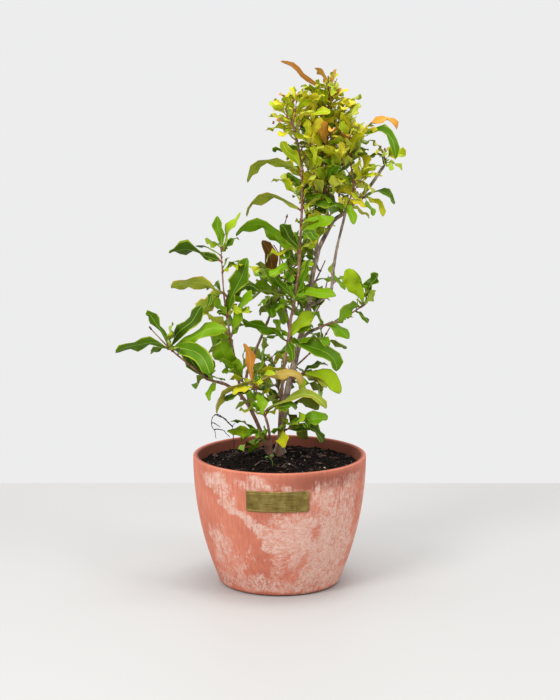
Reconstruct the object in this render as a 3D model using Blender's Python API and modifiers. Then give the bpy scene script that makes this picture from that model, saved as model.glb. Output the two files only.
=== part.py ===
"""A young pomegranate tree in a lime-washed, terracotta-coloured planter.

Lengths in the tables are millimetres; MM turns them into metres when a mesh is made.
The origin is the centre of the pot's flat underside. +X is to the right, +Y is away
from the front, where the bare brass plate is, and +Z is up.
"""

import math

import bmesh
import bpy
import numpy as np
from mathutils.bvhtree import BVHTree

MM = 0.001
GAP = 0.3

# Planter: a thin-walled bowl that swells quickly from its base and then stands nearly upright
POT_HEIGHT = 132.0
POT_RIM_RADIUS = 87.5
POT_SWELL = 27.4
POT_SWELL_POWER = 2.1
POT_WALL = 5.0
POT_FLOOR = 7.0
POT_BASE_CORNER = 7.0
POT_RIM_ROUND = 1.2
POT_SIDES = 32
WALL_HEIGHTS = (121.5, 112, 92, 72, 54, 38, 22)

# Potting mix: mounded round the stems, flat on top where they stand
SOIL_TOP = 130.0
SOIL_EDGE = WALL_HEIGHTS[0]
SOIL_FLAT_RADIUS = 30.0

# Bare brass plate that follows the pot's front
PLATE_LOW = 93.0
PLATE_HIGH = 114.0
PLATE_WIDTH = 63.0
PLATE_THICKNESS = 1.2
PLATE_OFF_CENTRE = -2.0

# Leaf outline: share of the leaf's length, share of its width. Leaves that arch take the finer one.
# The widest share is over 1, so that the straight edges cover as much as the real rounded ones
LEAF_OUTLINE = ((0.0, 0.10), (0.54, 1.14))
ARCHED_OUTLINE = ((0.0, 0.10), (0.37, 0.96), (0.76, 1.02))
ARCHED_FROM = 3.5
LEAF_THINNEST = 0.6
LEAF_THICKNESS_SHARE = 0.013
LEAF_ROOT = 0.8
LEAF_ROOT_OUT = 0.3
LEAF_CLEARANCE = 0.45
LEAF_FREE_FROM = 0.14
SHOOT_RADIUS = 0.7
TWIG_TIP_RADIUS = 0.55
SHOWN_REACH_EXTRA = 12.0

# How a ruled leaf varies: lowest value and what chance adds. Width, arch and droop are shares of
# its length
LEAF_WIDTH = (0.24, 0.08)
LEAF_ARCH = (0.05, 0.17)
LEAF_DROOP = (0.05, 0.40)
LEAF_HOOK_MOST = 0.9
LEAF_TURN_RANGE = 1.9
LEAF_RISE = (0.15, 0.60)

# Pairs on a twig, small leaves in their axils, and the tuft at the tip. Angles are radians
PAIR_START = 4.0
PAIR_TURN_SPREAD = 0.3
SIDE_TURN_SPREAD = 0.7
YOUNGER_SHARE = 0.30
PITCH_SPREAD = (0.85, 0.30)
AXIL_AHEAD = 2.0
AXIL_TURN = 0.5
AXIL_RISE = (0.7, 0.4)
AXIL_LEAF = (0.45, 0.25)
AXIL_LEAF_FROM = 0.7
TIP_LEAF_SHARE = 0.72
TIP_LEAF_STEP = 1.1
TIP_LEAF_TURN = 2.4
TIP_LEAF_RISE = (0.35, 0.90)

# Side shoots: shortest and longest, and their leaves as share of the shoot, turn round it and rise
SHOOT_LENGTHS = (10, 24)
SHOOT_LEAVES = ((0.5, 0.0, 0.4), (0.56, 3.1, 0.4), (0.8, 1.5, 0.6), (0.88, 4.6, 0.6), (0.97, 0.4, 1.0))
SHOOT_LEAF = (0.60, 0.30)
SHOOT_RISE_SPREAD = 0.3

# Limbs: corner points from root to tip, radii at root and tip, and the limb that carries them
LIMBS = {
    "trunk": dict(
        radii=(3.9, 2.3), flare=3.2, sides=8,
        points=[(0, 16, 130), (6, 14, 184), (17, 14, 231), (29, 15, 282), (33, 16, 312), (39, 18, 337)]),
    "stem_front": dict(
        radii=(2.0, 1.5), flare=0.9, sides=6,
        points=[(-1, 4, 130), (1, -2, 180), (4, -6, 219), (8, -8, 246)]),
    "stem_left": dict(
        radii=(2.1, 1.5), flare=1.2, sides=6,
        points=[(-11, 9, 130), (-24, 8, 165), (-37, 3, 189), (-52, -4, 203), (-64, -8, 208)]),
    "shoot_front": dict(
        radii=(1.5, 1.2), flare=0.6, sides=6,
        points=[(-8, -4, 130), (-11, -12, 160), (-14, -18, 173)]),
    "bough_right": dict(
        radii=(2.3, 1.5), carrier="trunk", sides=6,
        points=[
            (37, 18, 334), (46, 20, 352), (54, 24, 366), (64, 28, 373), (77, 30, 385), (91, 28, 401),
            (104, 24, 421)]),
    "bough_centre": dict(
        radii=(1.7, 1.3), carrier="trunk", sides=6,
        points=[(36, 17, 332), (38, 24, 350), (41, 28, 378)]),
    "bough_side": dict(
        radii=(1.6, 1.2), carrier="trunk", sides=6,
        points=[(28, 15, 281), (41, 6, 288), (51, 2, 298), (53, 0, 315), (57, -2, 342), (65, -4, 377)]),
    "bough_low_right": dict(
        radii=(1.7, 1.4), carrier="trunk", sides=6,
        points=[(18, 14, 240), (28, 8, 254), (41, 0, 262)]),
    "bough_back": dict(
        radii=(1.7, 1.3), carrier="trunk", sides=6,
        points=[(16, 14, 226), (10, 36, 254), (2, 56, 290)]),
    "bough_left_up": dict(
        radii=(1.5, 1.2), carrier="stem_left", sides=6,
        points=[(-38, 2, 188), (-43, -10, 221), (-48, -20, 251)]),
    "bough_middle": dict(
        radii=(1.6, 1.2), carrier="stem_left", sides=6,
        points=[(-29, 6, 176), (-34, 13, 204), (-28, 16, 226), (-18, 18, 250), (-9, 20, 272)]),
}

# Masses of foliage. A mass has: the limb that it grows on, whether from the limb's tip or else its
# root there, its twig's radius and corner points, the spacing of its leaf pairs, its shortest and
# longest leaf, the number of tip leaves, the chance of a side shoot, the seed, and how far its leaves
# may reach from the twig. Its shown leaves make the photographed outline. Each is: height of its root
# on the twig, reach to the right, away and up, rise of the arch, how far the tip hooks down, width,
# and turn of the blade in degrees.
MASSES = {
    "leaves_front": dict(
        limb="stem_front", tip=True, radius=1.45, pitch=30, leaf=(24, 44), tips=8, shoots=0.3, seed=11,
        reach=66,
        points=[
            (11, -9, 271), (15, -10, 291), (19, -10, 321), (20, -10, 341), (22, -8, 381), (22, -8, 413),
            (19, -8, 439), (15, -10, 458), (12, -11, 468)],
        shown=[
            (249, -46, -12, 19, 1, 0.0, 12, 30), (248, 38, -15, -32, 15, 1.1, 15, 60),
            (251, 25, 8, 27, 2, 0.0, 11, 50), (247, -5, -22, -19, 4, 0.4, 10, 30),
            (293, -30, -10, 30, 1, 0.0, 11, 55), (292, -56, -6, -8, 12, 0.7, 11, 25),
            (294, 17, -9, 38, 2, 0.0, 11, 60), (295, 40, -12, 3, 4, 0.0, 12, 50),
            (340, -50, -14, 36, 4, 0.0, 10, 35), (342, -17, -17, 27, 1, 0.0, 11, 60),
            (343, -38, 8, 15, 4, 0.2, 9, 20), (345, 31, -17, 32, 4, 0.0, 14, 60),
            (348, 29, -2, 26, 9, 0.6, 9, 12), (381, -49, -10, -6, 17, 1.2, 11, 28),
            (385, -28, -6, 22, 9, 0.7, 10, 30), (388, -17, -16, 32, 2, 0.0, 11, 45),
            (382, 43, -8, 1, 7, 0.3, 11, 32), (390, 15, -9, 23, 2, 0.0, 10, 30),
            (414, -50, -6, -9, 18, 1.2, 11, 28), (419, -20, -12, 30, 2, 0.0, 11, 40),
            (410, -34, 8, 8, 7, 0.5, 9, 15), (424, -16, -17, 11, 2, 0.0, 10, 45)]),
    "leaves_top": dict(
        limb="bough_centre", tip=True, radius=1.3, pitch=14, leaf=(21, 34), tips=6, shoots=0.45, seed=23,
        reach=58,
        points=[(44, 22, 399), (46, 18, 420), (48, 12, 458), (48, 8, 488), (48, 4, 508)],
        shown=[
            (488, -48, -6, 36, 7, 0.3, 8, 20), (499, -12, -3, 22, 2, 0.0, 8, 30),
            (498, 11, 2, 22, 1, 0.0, 7, 25), (490, 10, -8, 13, 2, 0.0, 10, 60),
            (470, -14, -8, 28, 1, 0.0, 9, 55), (480, 27, -5, 6, 3, 0.3, 9, 30),
            (486, 20, 8, 12, 2, 0.0, 8, 30), (452, 28, -8, 6, 3, 0.0, 10, 40),
            (478, -34, -10, 14, 3, 0.0, 9, 40)]),
    "leaves_top_right": dict(
        limb="bough_right", tip=False, root=(62, 27.5, 372), radius=1.1, pitch=15, leaf=(20, 32), tips=5,
        shoots=0.45, seed=29, reach=50,
        points=[(60, 24, 388), (58, 18, 420), (60, 12, 452), (63, 8, 478)],
        shown=[(470, 18, -8, 12, 2, 0.0, 10, 50), (462, 24, -6, -4, 4, 0.3, 9, 30)]),
    "leaves_centre": dict(
        limb="bough_right", tip=False, root=(50, 21, 358), radius=1.2, pitch=14, leaf=(20, 34), tips=6,
        shoots=0.4, seed=31, reach=52,
        points=[(49, 13, 370), (46, 6, 388), (43, -2, 412), (42, -6, 440)],
        shown=[
            (412, 25, -8, -8, 8, 0.7, 9, 25), (420, 24, -10, 10, 5, 0.3, 11, 50),
            (436, 27, -4, 2, 4, 0.3, 10, 35), (428, 12, -14, 26, 2, 0.0, 12, 60),
            (395, -8, -16, 22, 2, 0.0, 10, 55), (440, -12, -6, 24, 2, 0.0, 9, 50)]),
    "leaves_right": dict(
        limb="bough_side", tip=True, radius=1.1, pitch=20, leaf=(22, 36), tips=4, shoots=0.3, seed=47,
        reach=50,
        points=[(73, -6, 402), (70, -8, 429), (72, -12, 443), (80, -16, 458)],
        shown=[
            (456, 37, -4, 5, 10, 0.7, 9, 22), (454, 28, -8, -20, 13, 1.0, 9, 15),
            (432, 13, -10, 24, 2, 0.0, 11, 60), (416, -26, -8, -2, 4, 0.2, 10, 55),
            (386, 6, -10, -19, 5, 0.5, 8, 30), (388, 16, -6, -5, 4, 0.3, 8, 30)]),
    "leaves_right_tip": dict(
        limb="bough_right", tip=True, radius=0.9, pitch=12, leaf=(14, 24), tips=3, shoots=0.0, seed=53,
        reach=40,
        points=[(105, 22, 429), (103, 20, 437)],
        shown=[
            (429, 19, -6, 5, 4, 0.4, 12, 60), (425, 16, -4, -8, 3, 0.3, 8, 10),
            (434, -12, 8, 14, 2, 0.0, 9, 40)]),
    "leaves_right_under": dict(
        limb="bough_right", tip=False, root=(78, 30, 386), radius=0.9, pitch=14, leaf=(18, 30), tips=3,
        shoots=0.0, seed=59, reach=46,
        points=[(82, 20, 389), (86, 8, 393)],
        shown=[
            (391, 31, -3, -7, 9, 0.8, 9, 22), (389, 22, -9, -17, 8, 0.9, 8, 18),
            (390, 4, 20, 12, 4, 0.2, 10, 40)]),
    "leaves_middle": dict(
        limb="bough_middle", tip=True, radius=1.1, pitch=22, leaf=(26, 42), tips=4, shoots=0.3, seed=61,
        reach=58,
        points=[(-1, 21, 290), (6, 20, 308), (10, 19, 321)],
        shown=[
            (318, -19, -3, 28, 2, 0.0, 10, 50), (320, -6, -6, 24, 1, 0.0, 8, 45),
            (300, -22, -2, 50, 2, 0.0, 12, 70), (280, -34, 10, 12, 7, 0.5, 11, 40)]),
    "leaves_trunk_right": dict(
        limb="trunk", tip=False, root=(31, 15.5, 297), radius=1.0, pitch=19, leaf=(26, 40), tips=4,
        shoots=0.2, seed=67, reach=54,
        points=[(38, 21, 309), (46, 24, 326)],
        shown=[(305, 30, -16, -6, 7, 0.6, 9, 20), (303, -8, -14, -24, 7, 0.5, 10, 30)]),
    "leaves_low_right": dict(
        limb="bough_low_right", tip=True, radius=1.3, pitch=26, leaf=(20, 32), tips=0, shoots=0.15,
        seed=71, reach=60,
        points=[(50, -8, 267), (60, -14, 271), (75, -20, 282), (82, -22, 287), (91, -26, 296)],
        shown=[
            (287, -17, -8, 39, 2, 0.0, 13, 65), (289, 17, -2, 31, 7, 0.4, 10, 25),
            (292, 13, 4, 17, 2, 0.0, 9, 40), (286, -22, -14, -5, 8, 0.5, 15, 65),
            (266, 24, -8, -10, 5, 0.4, 11, 45)]),
    "leaves_far_left": dict(
        limb="stem_left", tip=True, radius=1.4, pitch=32, leaf=(24, 38), tips=0, shoots=0.1, seed=73,
        reach=62,
        points=[(-84, -18, 222), (-108, -30, 245), (-126, -38, 266)],
        shown=[
            (246, 31, -10, 42, 2, 0.0, 15, 68), (247, -26, -4, 33, 7, 0.2, 9, 20),
            (243, -49, -2, -4, 13, 0.6, 12, 42), (245, 55, -14, 24, 5, 0.1, 14, 62),
            (222, 6, -14, -20, 4, 0.3, 11, 60), (211, -28, -13, 36, 2, 0.0, 14, 70),
            (210, 2, -14, -16, 4, 0.3, 10, 40)]),
    "leaves_left_up": dict(
        limb="bough_left_up", tip=True, radius=1.2, pitch=32, leaf=(26, 42), tips=3, shoots=0.2, seed=79,
        reach=64,
        points=[(-52, -24, 276), (-55, -26, 300), (-57, -26, 335), (-57, -26, 345)],
        shown=[
            (344, -4, -4, 33, 1, 0.0, 9, 50), (343, 20, -6, 37, 3, 0.0, 10, 50),
            (342, 27, 4, 24, 3, 0.0, 9, 32), (341, -25, 4, 11, 4, 0.3, 8, 8),
            (334, -50, -4, 10, 8, 0.4, 11, 32), (300, -17, -10, -20, 14, 1.1, 13, 60),
            (302, -50, 6, 8, 8, 0.6, 12, 45), (276, 22, -8, 58, 3, 0.0, 14, 60),
            (255, 23, -12, 49, 3, 0.0, 14, 60), (277, -12, -8, 18, 2, 0.0, 9, 30)]),
    "leaves_left_middle": dict(
        limb="bough_left_up", tip=False, root=(-41, -6.5, 209), radius=1.0, pitch=17, leaf=(24, 40),
        tips=3, shoots=0.0, seed=83, reach=62,
        points=[(-38, -14, 210), (-37, -24, 216)],
        shown=[
            (211, -20, -6, 44, 2, 0.0, 16, 72), (212, 2, -8, 36, 2, 0.0, 13, 65),
            (209, -18, -6, -8, 5, 0.4, 12, 50)]),
    "leaves_shoot": dict(
        limb="shoot_front", tip=True, radius=1.1, pitch=20, leaf=(22, 36), tips=3, shoots=0.0, seed=89,
        reach=70,
        points=[(-18, -22, 187), (-22, -26, 199), (-25, -30, 207), (-28, -33, 213)],
        shown=[
            (207, -9, -4, 45, 2, 0.0, 9, 48), (208, 12, -2, 38, 1, 0.0, 7, 18),
            (205, 46, -10, 4, 16, 1.1, 11, 42), (204, -31, -8, -18, 15, 1.2, 12, 45),
            (200, 6, -14, -19, 4, 0.3, 10, 45), (179, 62, -8, 6, 12, 0.9, 12, 45),
            (178, -13, -8, 13, 1, 0.0, 8, 35)]),
    "leaves_foot_left": dict(
        limb="shoot_front", tip=False, root=(-9.5, -7, 147), radius=0.9, pitch=14, leaf=(22, 34), tips=2,
        shoots=0.0, seed=97, reach=56,
        points=[(-15, -10, 151), (-21, -12, 156)],
        shown=[
            (154, -32, -8, 3, 5, 0.3, 13, 60), (156, -28, 6, 10, 4, 0.3, 10, 25),
            (151, -8, -22, 4, 5, 0.3, 11, 40)]),
    "leaves_foot_right": dict(
        limb="stem_front", tip=False, root=(0, 0.5, 153), radius=1.0, pitch=14, leaf=(24, 38), tips=2,
        shoots=0.0, seed=101, reach=58,
        points=[(7, -5, 158), (14, -9, 163)],
        shown=[
            (161, 36, -10, 6, 12, 0.9, 14, 58), (158, 32, 10, -4, 8, 0.4, 12, 50),
            (156, 10, -24, -8, 5, 0.4, 13, 50), (159, 18, -16, 2, 5, 0.3, 11, 50)]),
    "leaves_right_low": dict(
        limb="trunk", tip=False, root=(10, 14, 203), radius=1.1, pitch=17, leaf=(26, 42), tips=3,
        shoots=0.2, seed=103, reach=62,
        points=[(17, 6, 209), (25, -2, 217)],
        shown=[
            (217, 34, -8, -16, 13, 1.1, 13, 52), (214, 26, 8, 6, 5, 0.3, 9, 15),
            (209, 30, -12, -8, 6, 0.3, 12, 50)]),
    "leaves_back_low": dict(
        limb="trunk", tip=False, root=(3, 15, 172), radius=1.2, pitch=26, leaf=(28, 44), tips=4,
        shoots=0.3, seed=107, reach=62,
        points=[(1, 28, 184), (-4, 44, 202), (-8, 56, 222)],
        shown=[]),
    "leaves_back_middle": dict(
        limb="bough_back", tip=True, radius=1.2, pitch=26, leaf=(26, 44), tips=5, shoots=0.35, seed=109,
        reach=60,
        points=[(0, 64, 316), (2, 68, 344), (8, 66, 368)],
        shown=[]),
    "leaves_back_right": dict(
        limb="trunk", tip=False, root=(22, 14, 252), radius=1.2, pitch=26, leaf=(26, 42), tips=4,
        shoots=0.3, seed=113, reach=58,
        points=[(32, 28, 264), (44, 44, 284), (50, 54, 306)],
        shown=[]),
    "leaves_back_high": dict(
        limb="bough_centre", tip=False, root=(37.5, 22, 346), radius=1.2, pitch=26, leaf=(24, 38), tips=5,
        shoots=0.35, seed=127, reach=54,
        points=[(32, 34, 358), (27, 46, 382), (28, 50, 410), (32, 48, 432)],
        shown=[]),
    "leaves_right_back": dict(
        limb="trunk", tip=False, root=(13.5, 14, 217), radius=1.1, pitch=26, leaf=(26, 42), tips=4,
        shoots=0.2, seed=131, reach=58,
        points=[(26, 26, 226), (42, 38, 240), (54, 46, 258)],
        shown=[]),
}

# Black, dead wiry twigs at the pot's back left: one upright and the loops that hang from its knot
DEAD_TWIG_RADIUS = 0.75
DEAD_TWIGS = (
    ((-46, 28, 126.6), (-47, 28, 140), (-48, 25, 154), (-46, 24, 158)),
    ((-48, 25, 154), (-58, 26, 164), (-66, 25, 167), (-70, 25, 158), (-67, 25, 151), (-65, 26, 142)),
    ((-67, 25, 151), (-62, 24, 152), (-57, 24, 150), (-51, 26, 143)),
    ((-70, 25, 158), (-66, 24, 158), (-61, 24, 154)),
    ((-66, 25, 167), (-57, 29, 162), (-48, 25, 154)),
)

# Colour as linear red, green and blue, then roughness and metallic
FINISHES = {
    "pot": ((0.60, 0.25, 0.17), 0.72, 0.0),
    "soil": ((0.015, 0.010, 0.007), 0.95, 0.0),
    "plate": ((0.28, 0.20, 0.09), 0.42, 1.0),
    "bark": ((0.17, 0.10, 0.07), 0.85, 0.0),
    "dead": ((0.02, 0.015, 0.013), 0.8, 0.0),
    "green": ((0.12, 0.26, 0.03), 0.5, 0.0),
    "yellow": ((0.45, 0.42, 0.05), 0.5, 0.0),
}
YELLOW_MASSES = ("leaves_top", "leaves_top_right", "leaves_centre", "leaves_right", "leaves_right_tip")


def clear_scene():
    """Remove every object of the scene."""
    for thing in list(bpy.data.objects):
        bpy.data.objects.remove(thing, do_unlink=True)


def finish(name):
    """Principled material with one of the named finishes."""
    if name in bpy.data.materials:
        return bpy.data.materials[name]
    color, roughness, metallic = FINISHES[name]
    material = bpy.data.materials.new(name)
    material.use_nodes = True
    shader = material.node_tree.nodes["Principled BSDF"]
    shader.inputs["Base Color"].default_value = (*color, 1.0)
    shader.inputs["Roughness"].default_value = roughness
    shader.inputs["Metallic"].default_value = metallic
    return material


def add_object(name, mesh, collection, material):
    """Link a mesh as one named object with one material."""
    mesh.materials.clear()
    mesh.materials.append(finish(material))
    thing = bpy.data.objects.new(name, mesh)
    collection.objects.link(thing)
    return thing


def unit(vector):
    return vector / max(np.linalg.norm(vector), 1e-9)


def smooth_path(points, per_span=4):
    """Catmull-Rom curve through the points, with per_span pieces between neighbours."""
    corners = np.array(points, float)
    corners = np.vstack([2 * corners[0] - corners[1], corners, 2 * corners[-1] - corners[-2]])
    t = np.linspace(0, 1, per_span, endpoint=False)[:, None]
    spans = [
        0.5 * (2 * b + (c - a) * t + (2 * a - 5 * b + 4 * c - d) * t**2 + (3 * b - a - 3 * c + d) * t**3)
        for a, b, c, d in zip(corners, corners[1:], corners[2:], corners[3:])
    ]
    return np.vstack(spans + [corners[-2:-1]])


def along(path):
    """Distance of each point of the path from its root."""
    return np.concatenate([[0], np.cumsum(np.linalg.norm(np.diff(path, axis=0), axis=1))])


def at_length(path, distance):
    """Point of the path at a distance from its root, and its direction there."""
    lengths = along(path)
    point = np.array([np.interp(distance, lengths, path[:, axis]) for axis in range(3)])
    ahead = np.array([np.interp(distance + 1.0, lengths, path[:, axis]) for axis in range(3)])
    behind = np.array([np.interp(distance - 1.0, lengths, path[:, axis]) for axis in range(3)])
    return point, unit(ahead - behind)


def at_height(path, height):
    """Distance along a rising path at which it reaches a height."""
    return float(np.interp(height, path[:, 2], along(path)))


def square_to(direction):
    """Two unit vectors at right angles to a direction."""
    guide = np.array([0.0, 0, 1]) if abs(direction[2]) < 0.9 else np.array([1.0, 0, 0])
    first = unit(np.cross(direction, guide))
    return first, unit(np.cross(direction, first))


def ring(centre, direction, radius, sides):
    """Corners of a regular polygon square to a direction."""
    first, second = square_to(direction)
    turns = np.linspace(0, 2 * math.pi, sides, endpoint=False)[:, None]
    return centre + radius * (np.cos(turns) * first + np.sin(turns) * second)


def room_to(points, carrier):
    """Smallest distance from the points to the surface of a tapering limb."""
    path, radii = carrier
    starts, steps = path[:-1], np.diff(path, axis=0)
    offset = points[:, None] - starts[None]
    share = np.clip((offset * steps).sum(2) / (steps * steps).sum(1), 0, 1)
    distance = np.linalg.norm(offset - share[..., None] * steps, axis=2)
    radius = radii[:-1] + share * np.diff(radii)
    return (distance - radius).min()


def seated(path, radius, carrier, sides=6):
    """Path whose root is moved along it until its end face clears the carrier by the gap."""
    distance = 0.0
    while True:
        point, direction = at_length(path, distance)
        corners = np.vstack([ring(point, direction, radius, sides), point])
        if room_to(corners, carrier) >= GAP or distance > 20:
            break
        distance += 0.1
    lengths = along(path)
    return np.vstack([point, path[lengths > distance + 2.0]])


def tube_mesh(name, path, radii, sides):
    """Tapering tube: a poly curve with a bevel, made a mesh with its caps welded."""
    curve = bpy.data.curves.new(name, "CURVE")
    curve.dimensions = "3D"
    curve.bevel_depth = MM
    curve.bevel_resolution = (sides - 4) // 2
    curve.use_fill_caps = True
    spline = curve.splines.new("POLY")
    spline.points.add(len(path) - 1)
    spline.points.foreach_set("co", np.column_stack([path * MM, np.ones(len(path))]).ravel())
    spline.points.foreach_set("radius", radii)
    guide = bpy.data.objects.new(name, curve)
    bpy.context.scene.collection.objects.link(guide)
    mesh = bpy.data.meshes.new_from_object(guide.evaluated_get(bpy.context.evaluated_depsgraph_get()))
    bpy.data.objects.remove(guide, do_unlink=True)
    bpy.data.curves.remove(curve)
    weld(mesh)
    return mesh


def weld(mesh):
    """Merge a mesh's double points and turn its faces outward."""
    shape = bmesh.new()
    shape.from_mesh(mesh)
    bmesh.ops.remove_doubles(shape, verts=shape.verts, dist=0.00001)
    bmesh.ops.recalc_face_normals(shape, faces=shape.faces)
    bmesh.ops.triangulate(shape, faces=shape.faces)
    shape.to_mesh(mesh)
    shape.free()


def skin(rings, tip=None):
    """Closed corners and faces through equal rings, capped at the root and at the tip or its point."""
    count, sides = len(rings), len(rings[0])
    corners = [corner for loop in rings for corner in loop]
    faces = [tuple(reversed(range(sides)))]
    for level in range(count - 1):
        for side in range(sides):
            low, next_low = level * sides + side, level * sides + (side + 1) % sides
            faces += [(low, next_low, next_low + sides), (low, next_low + sides, low + sides)]
    top = (count - 1) * sides
    if tip is None:
        faces.append(tuple(range(top, top + sides)))
    else:
        corners.append(tip)
        faces += [(top + side, top + (side + 1) % sides, len(corners) - 1) for side in range(sides)]
    return np.array(corners), faces


def twig_skin(path, root_radius, tip_radius, sides=3):
    """Tapering twig with a few flat sides along a path."""
    share = along(path) / along(path)[-1]
    radii = root_radius + (tip_radius - root_radius) * share
    slopes = np.gradient(path, axis=0)
    first, _ = square_to(unit(path[-1] - path[0]))
    rings = []
    for centre, slope, radius in zip(path, slopes, radii):
        slope = unit(slope)
        side = unit(first - slope * first.dot(slope))
        other = np.cross(slope, side)
        turns = [2 * math.pi * k / sides for k in range(sides)]
        rings.append([centre + radius * (math.cos(a) * side + math.sin(a) * other) for a in turns])
    return skin(rings)


def leaf_curve(root, reach, arch, hook, share):
    """Bezier midrib from its root: it rises by arch, and hook bends its last stretch down."""
    lift = np.array([0, 0, arch * 4 / 3])
    knots = (root, root + reach * 0.33 + lift, root + reach * (0.67 + 0.33 * hook) + lift, root + reach)
    weights = ((1 - share) ** 3, 3 * share * (1 - share) ** 2, 3 * share**2 * (1 - share), share**3)
    return sum(weight * knot for weight, knot in zip(weights, knots))


def leaf_skin(leaf, swell=0.0, start=0.0):
    """Thin closed leaf: three-cornered sections along the midrib, keel below, ending in a point."""
    root, reach, arch, hook, width, turn = leaf
    length = np.linalg.norm(reach)
    thick = max(LEAF_THINNEST, LEAF_THICKNESS_SHARE * length)
    level = unit(np.array([-reach[1], reach[0], 0.0]))
    rings = []
    for share, wide in ARCHED_OUTLINE if arch > ARCHED_FROM else LEAF_OUTLINE:
        share = max(share, start)
        centre = leaf_curve(root, reach, arch, hook, share)
        slope = unit(leaf_curve(root, reach, arch, hook, share + 0.02) - centre)
        across = unit(level - slope * level.dot(slope))
        under = np.cross(slope, across)
        across = math.cos(turn) * across + math.sin(turn) * under
        under = np.cross(slope, across)
        under = under if under[2] < 0 or abs(turn) > 1.5 else -under
        half = max(width * wide / 2, LEAF_ROOT / 2) + swell
        keel = thick + swell if share else LEAF_ROOT
        edge = centre - under * swell
        rings.append([edge - across * half, edge + across * half, centre + under * keel])
    return skin(rings, tip=leaf_curve(root, reach, arch, hook, 1.0) + swell * unit(reach))


def tree_of(corners, faces):
    return BVHTree.FromPolygons([tuple(corner) for corner in corners], faces, all_triangles=False)


def box_of(corners):
    return corners.min(axis=0), corners.max(axis=0)


def boxes_meet(one, other):
    return bool(np.all(one[0] <= other[1]) and np.all(other[0] <= one[1]))


class Crown:
    """What already stands, so that each new twig or leaf can be kept clear of it."""

    def __init__(self):
        self.things = []

    def add(self, owner, corners, faces):
        self.things.append((owner, box_of(corners), tree_of(corners, faces)))

    def is_free(self, owner, piece, outer_piece):
        """Whether a piece is clear of other nodes, and its outer stretch of its own mass."""
        box = box_of(piece[0])
        trees = {False: tree_of(*piece), True: tree_of(*outer_piece)}
        return not any(
            boxes_meet(box, other_box) and trees[other == owner].overlap(other_tree)
            for other, other_box, other_tree in self.things
        )


def mesh_data(thing):
    """Corners in millimetres and faces of an object as the viewport shows it."""
    shown = thing.evaluated_get(bpy.context.evaluated_depsgraph_get())
    mesh = shown.to_mesh()
    corners = np.empty(len(mesh.vertices) * 3)
    mesh.vertices.foreach_get("co", corners)
    faces = [tuple(face.vertices) for face in mesh.polygons]
    shown.to_mesh_clear()
    return corners.reshape(-1, 3) / MM, faces


def pot_radius(height):
    """Outer radius of the pot's wall at a height."""
    return POT_RIM_RADIUS - POT_SWELL * (1 - height / POT_HEIGHT) ** POT_SWELL_POWER


def turned(name, profile, collection, material):
    """Solid of revolution: a profile of radius and height, turned by a Screw modifier."""
    mesh = bpy.data.meshes.new(name)
    edges = [(corner, corner + 1) for corner in range(len(profile) - 1)]
    mesh.from_pydata([(r * MM, 0, z * MM) for r, z in profile], edges, [])
    thing = add_object(name, mesh, collection, material)
    screw = thing.modifiers.new("turn", "SCREW")
    screw.steps = screw.render_steps = POT_SIDES
    screw.use_merge_vertices = True
    screw.merge_threshold = 0.00001
    screw.use_normal_calculate = True
    return thing


def make_pot(collection):
    rim = POT_RIM_RADIUS
    inside = [(pot_radius(z) - POT_WALL, z) for z in reversed(WALL_HEIGHTS)]
    lip = [(rim - POT_WALL, POT_HEIGHT - POT_RIM_ROUND), (rim - POT_WALL + POT_RIM_ROUND, POT_HEIGHT),
           (rim - POT_RIM_ROUND, POT_HEIGHT)]
    outside = [(pot_radius(z), z) for z in (POT_HEIGHT - POT_RIM_ROUND, *WALL_HEIGHTS, POT_BASE_CORNER)]
    base = pot_radius(POT_BASE_CORNER) - POT_BASE_CORNER
    corner = [(base + POT_BASE_CORNER * 0.72, POT_BASE_CORNER * 0.30)]
    floor = [(0, POT_FLOOR), (inside[0][0] - 6, POT_FLOOR)]
    profile = floor + inside + lip + outside + corner + [(base, 0), (0, 0)]
    return turned("pot", profile, collection, "pot")


def make_soil(collection):
    wall = [(pot_radius(z) - POT_WALL - GAP, z) for z in WALL_HEIGHTS]
    mound = [(0, SOIL_TOP), (SOIL_FLAT_RADIUS, SOIL_TOP), (SOIL_FLAT_RADIUS + 16, SOIL_TOP - 2.5),
             (SOIL_FLAT_RADIUS + 36, SOIL_EDGE + 1.5)]
    floor = POT_FLOOR + GAP
    profile = mound + wall + [(wall[-1][0] - 6.5, floor), (0, floor)]
    return turned("soil", profile, collection, "soil")


def make_plate(collection):
    """Bare plate: a flat grid wrapped on the pot's wall, with Solidify for its thickness."""
    mesh = bpy.data.meshes.new("label_plate")
    shape = bmesh.new()
    bmesh.ops.create_grid(shape, x_segments=8, y_segments=2, size=0.5)
    for corner in shape.verts:
        height = PLATE_LOW + (corner.co.y + 0.5) * (PLATE_HIGH - PLATE_LOW)
        radius = pot_radius(height) + GAP
        turn = (corner.co.x * PLATE_WIDTH + PLATE_OFF_CENTRE) / radius - math.pi / 2
        corner.co = (radius * math.cos(turn) * MM, radius * math.sin(turn) * MM, height * MM)
    shape.to_mesh(mesh)
    shape.free()
    thing = add_object("label_plate", mesh, collection, "plate")
    wall = thing.modifiers.new("thickness", "SOLIDIFY")
    wall.thickness = PLATE_THICKNESS * MM
    wall.offset = 1.0
    return thing


def make_limbs(collection):
    """Every stem and bough as one tapering tube; returns their paths and radii."""
    limbs = {}
    for name, limb in LIMBS.items():
        root_radius, tip_radius = limb["radii"]
        path = smooth_path(limb["points"], 2)
        flare = limb.get("flare", 0.0)
        if "carrier" in limb:
            path = seated(path, root_radius, limbs[limb["carrier"]])
        else:
            foot = path[0] + (0, 0, GAP)
            path = np.vstack([foot, foot + (0, 0, 2.5), path[path[:, 2] > foot[2] + 5]])
        lengths = along(path)
        radii = root_radius + (tip_radius - root_radius) * lengths / lengths[-1]
        radii = radii + flare * np.exp(-lengths / 4.0)
        add_object(name, tube_mesh(name, path, radii, limb["sides"]), collection, "bark")
        limbs[name] = (path, radii)
    return limbs


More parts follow.
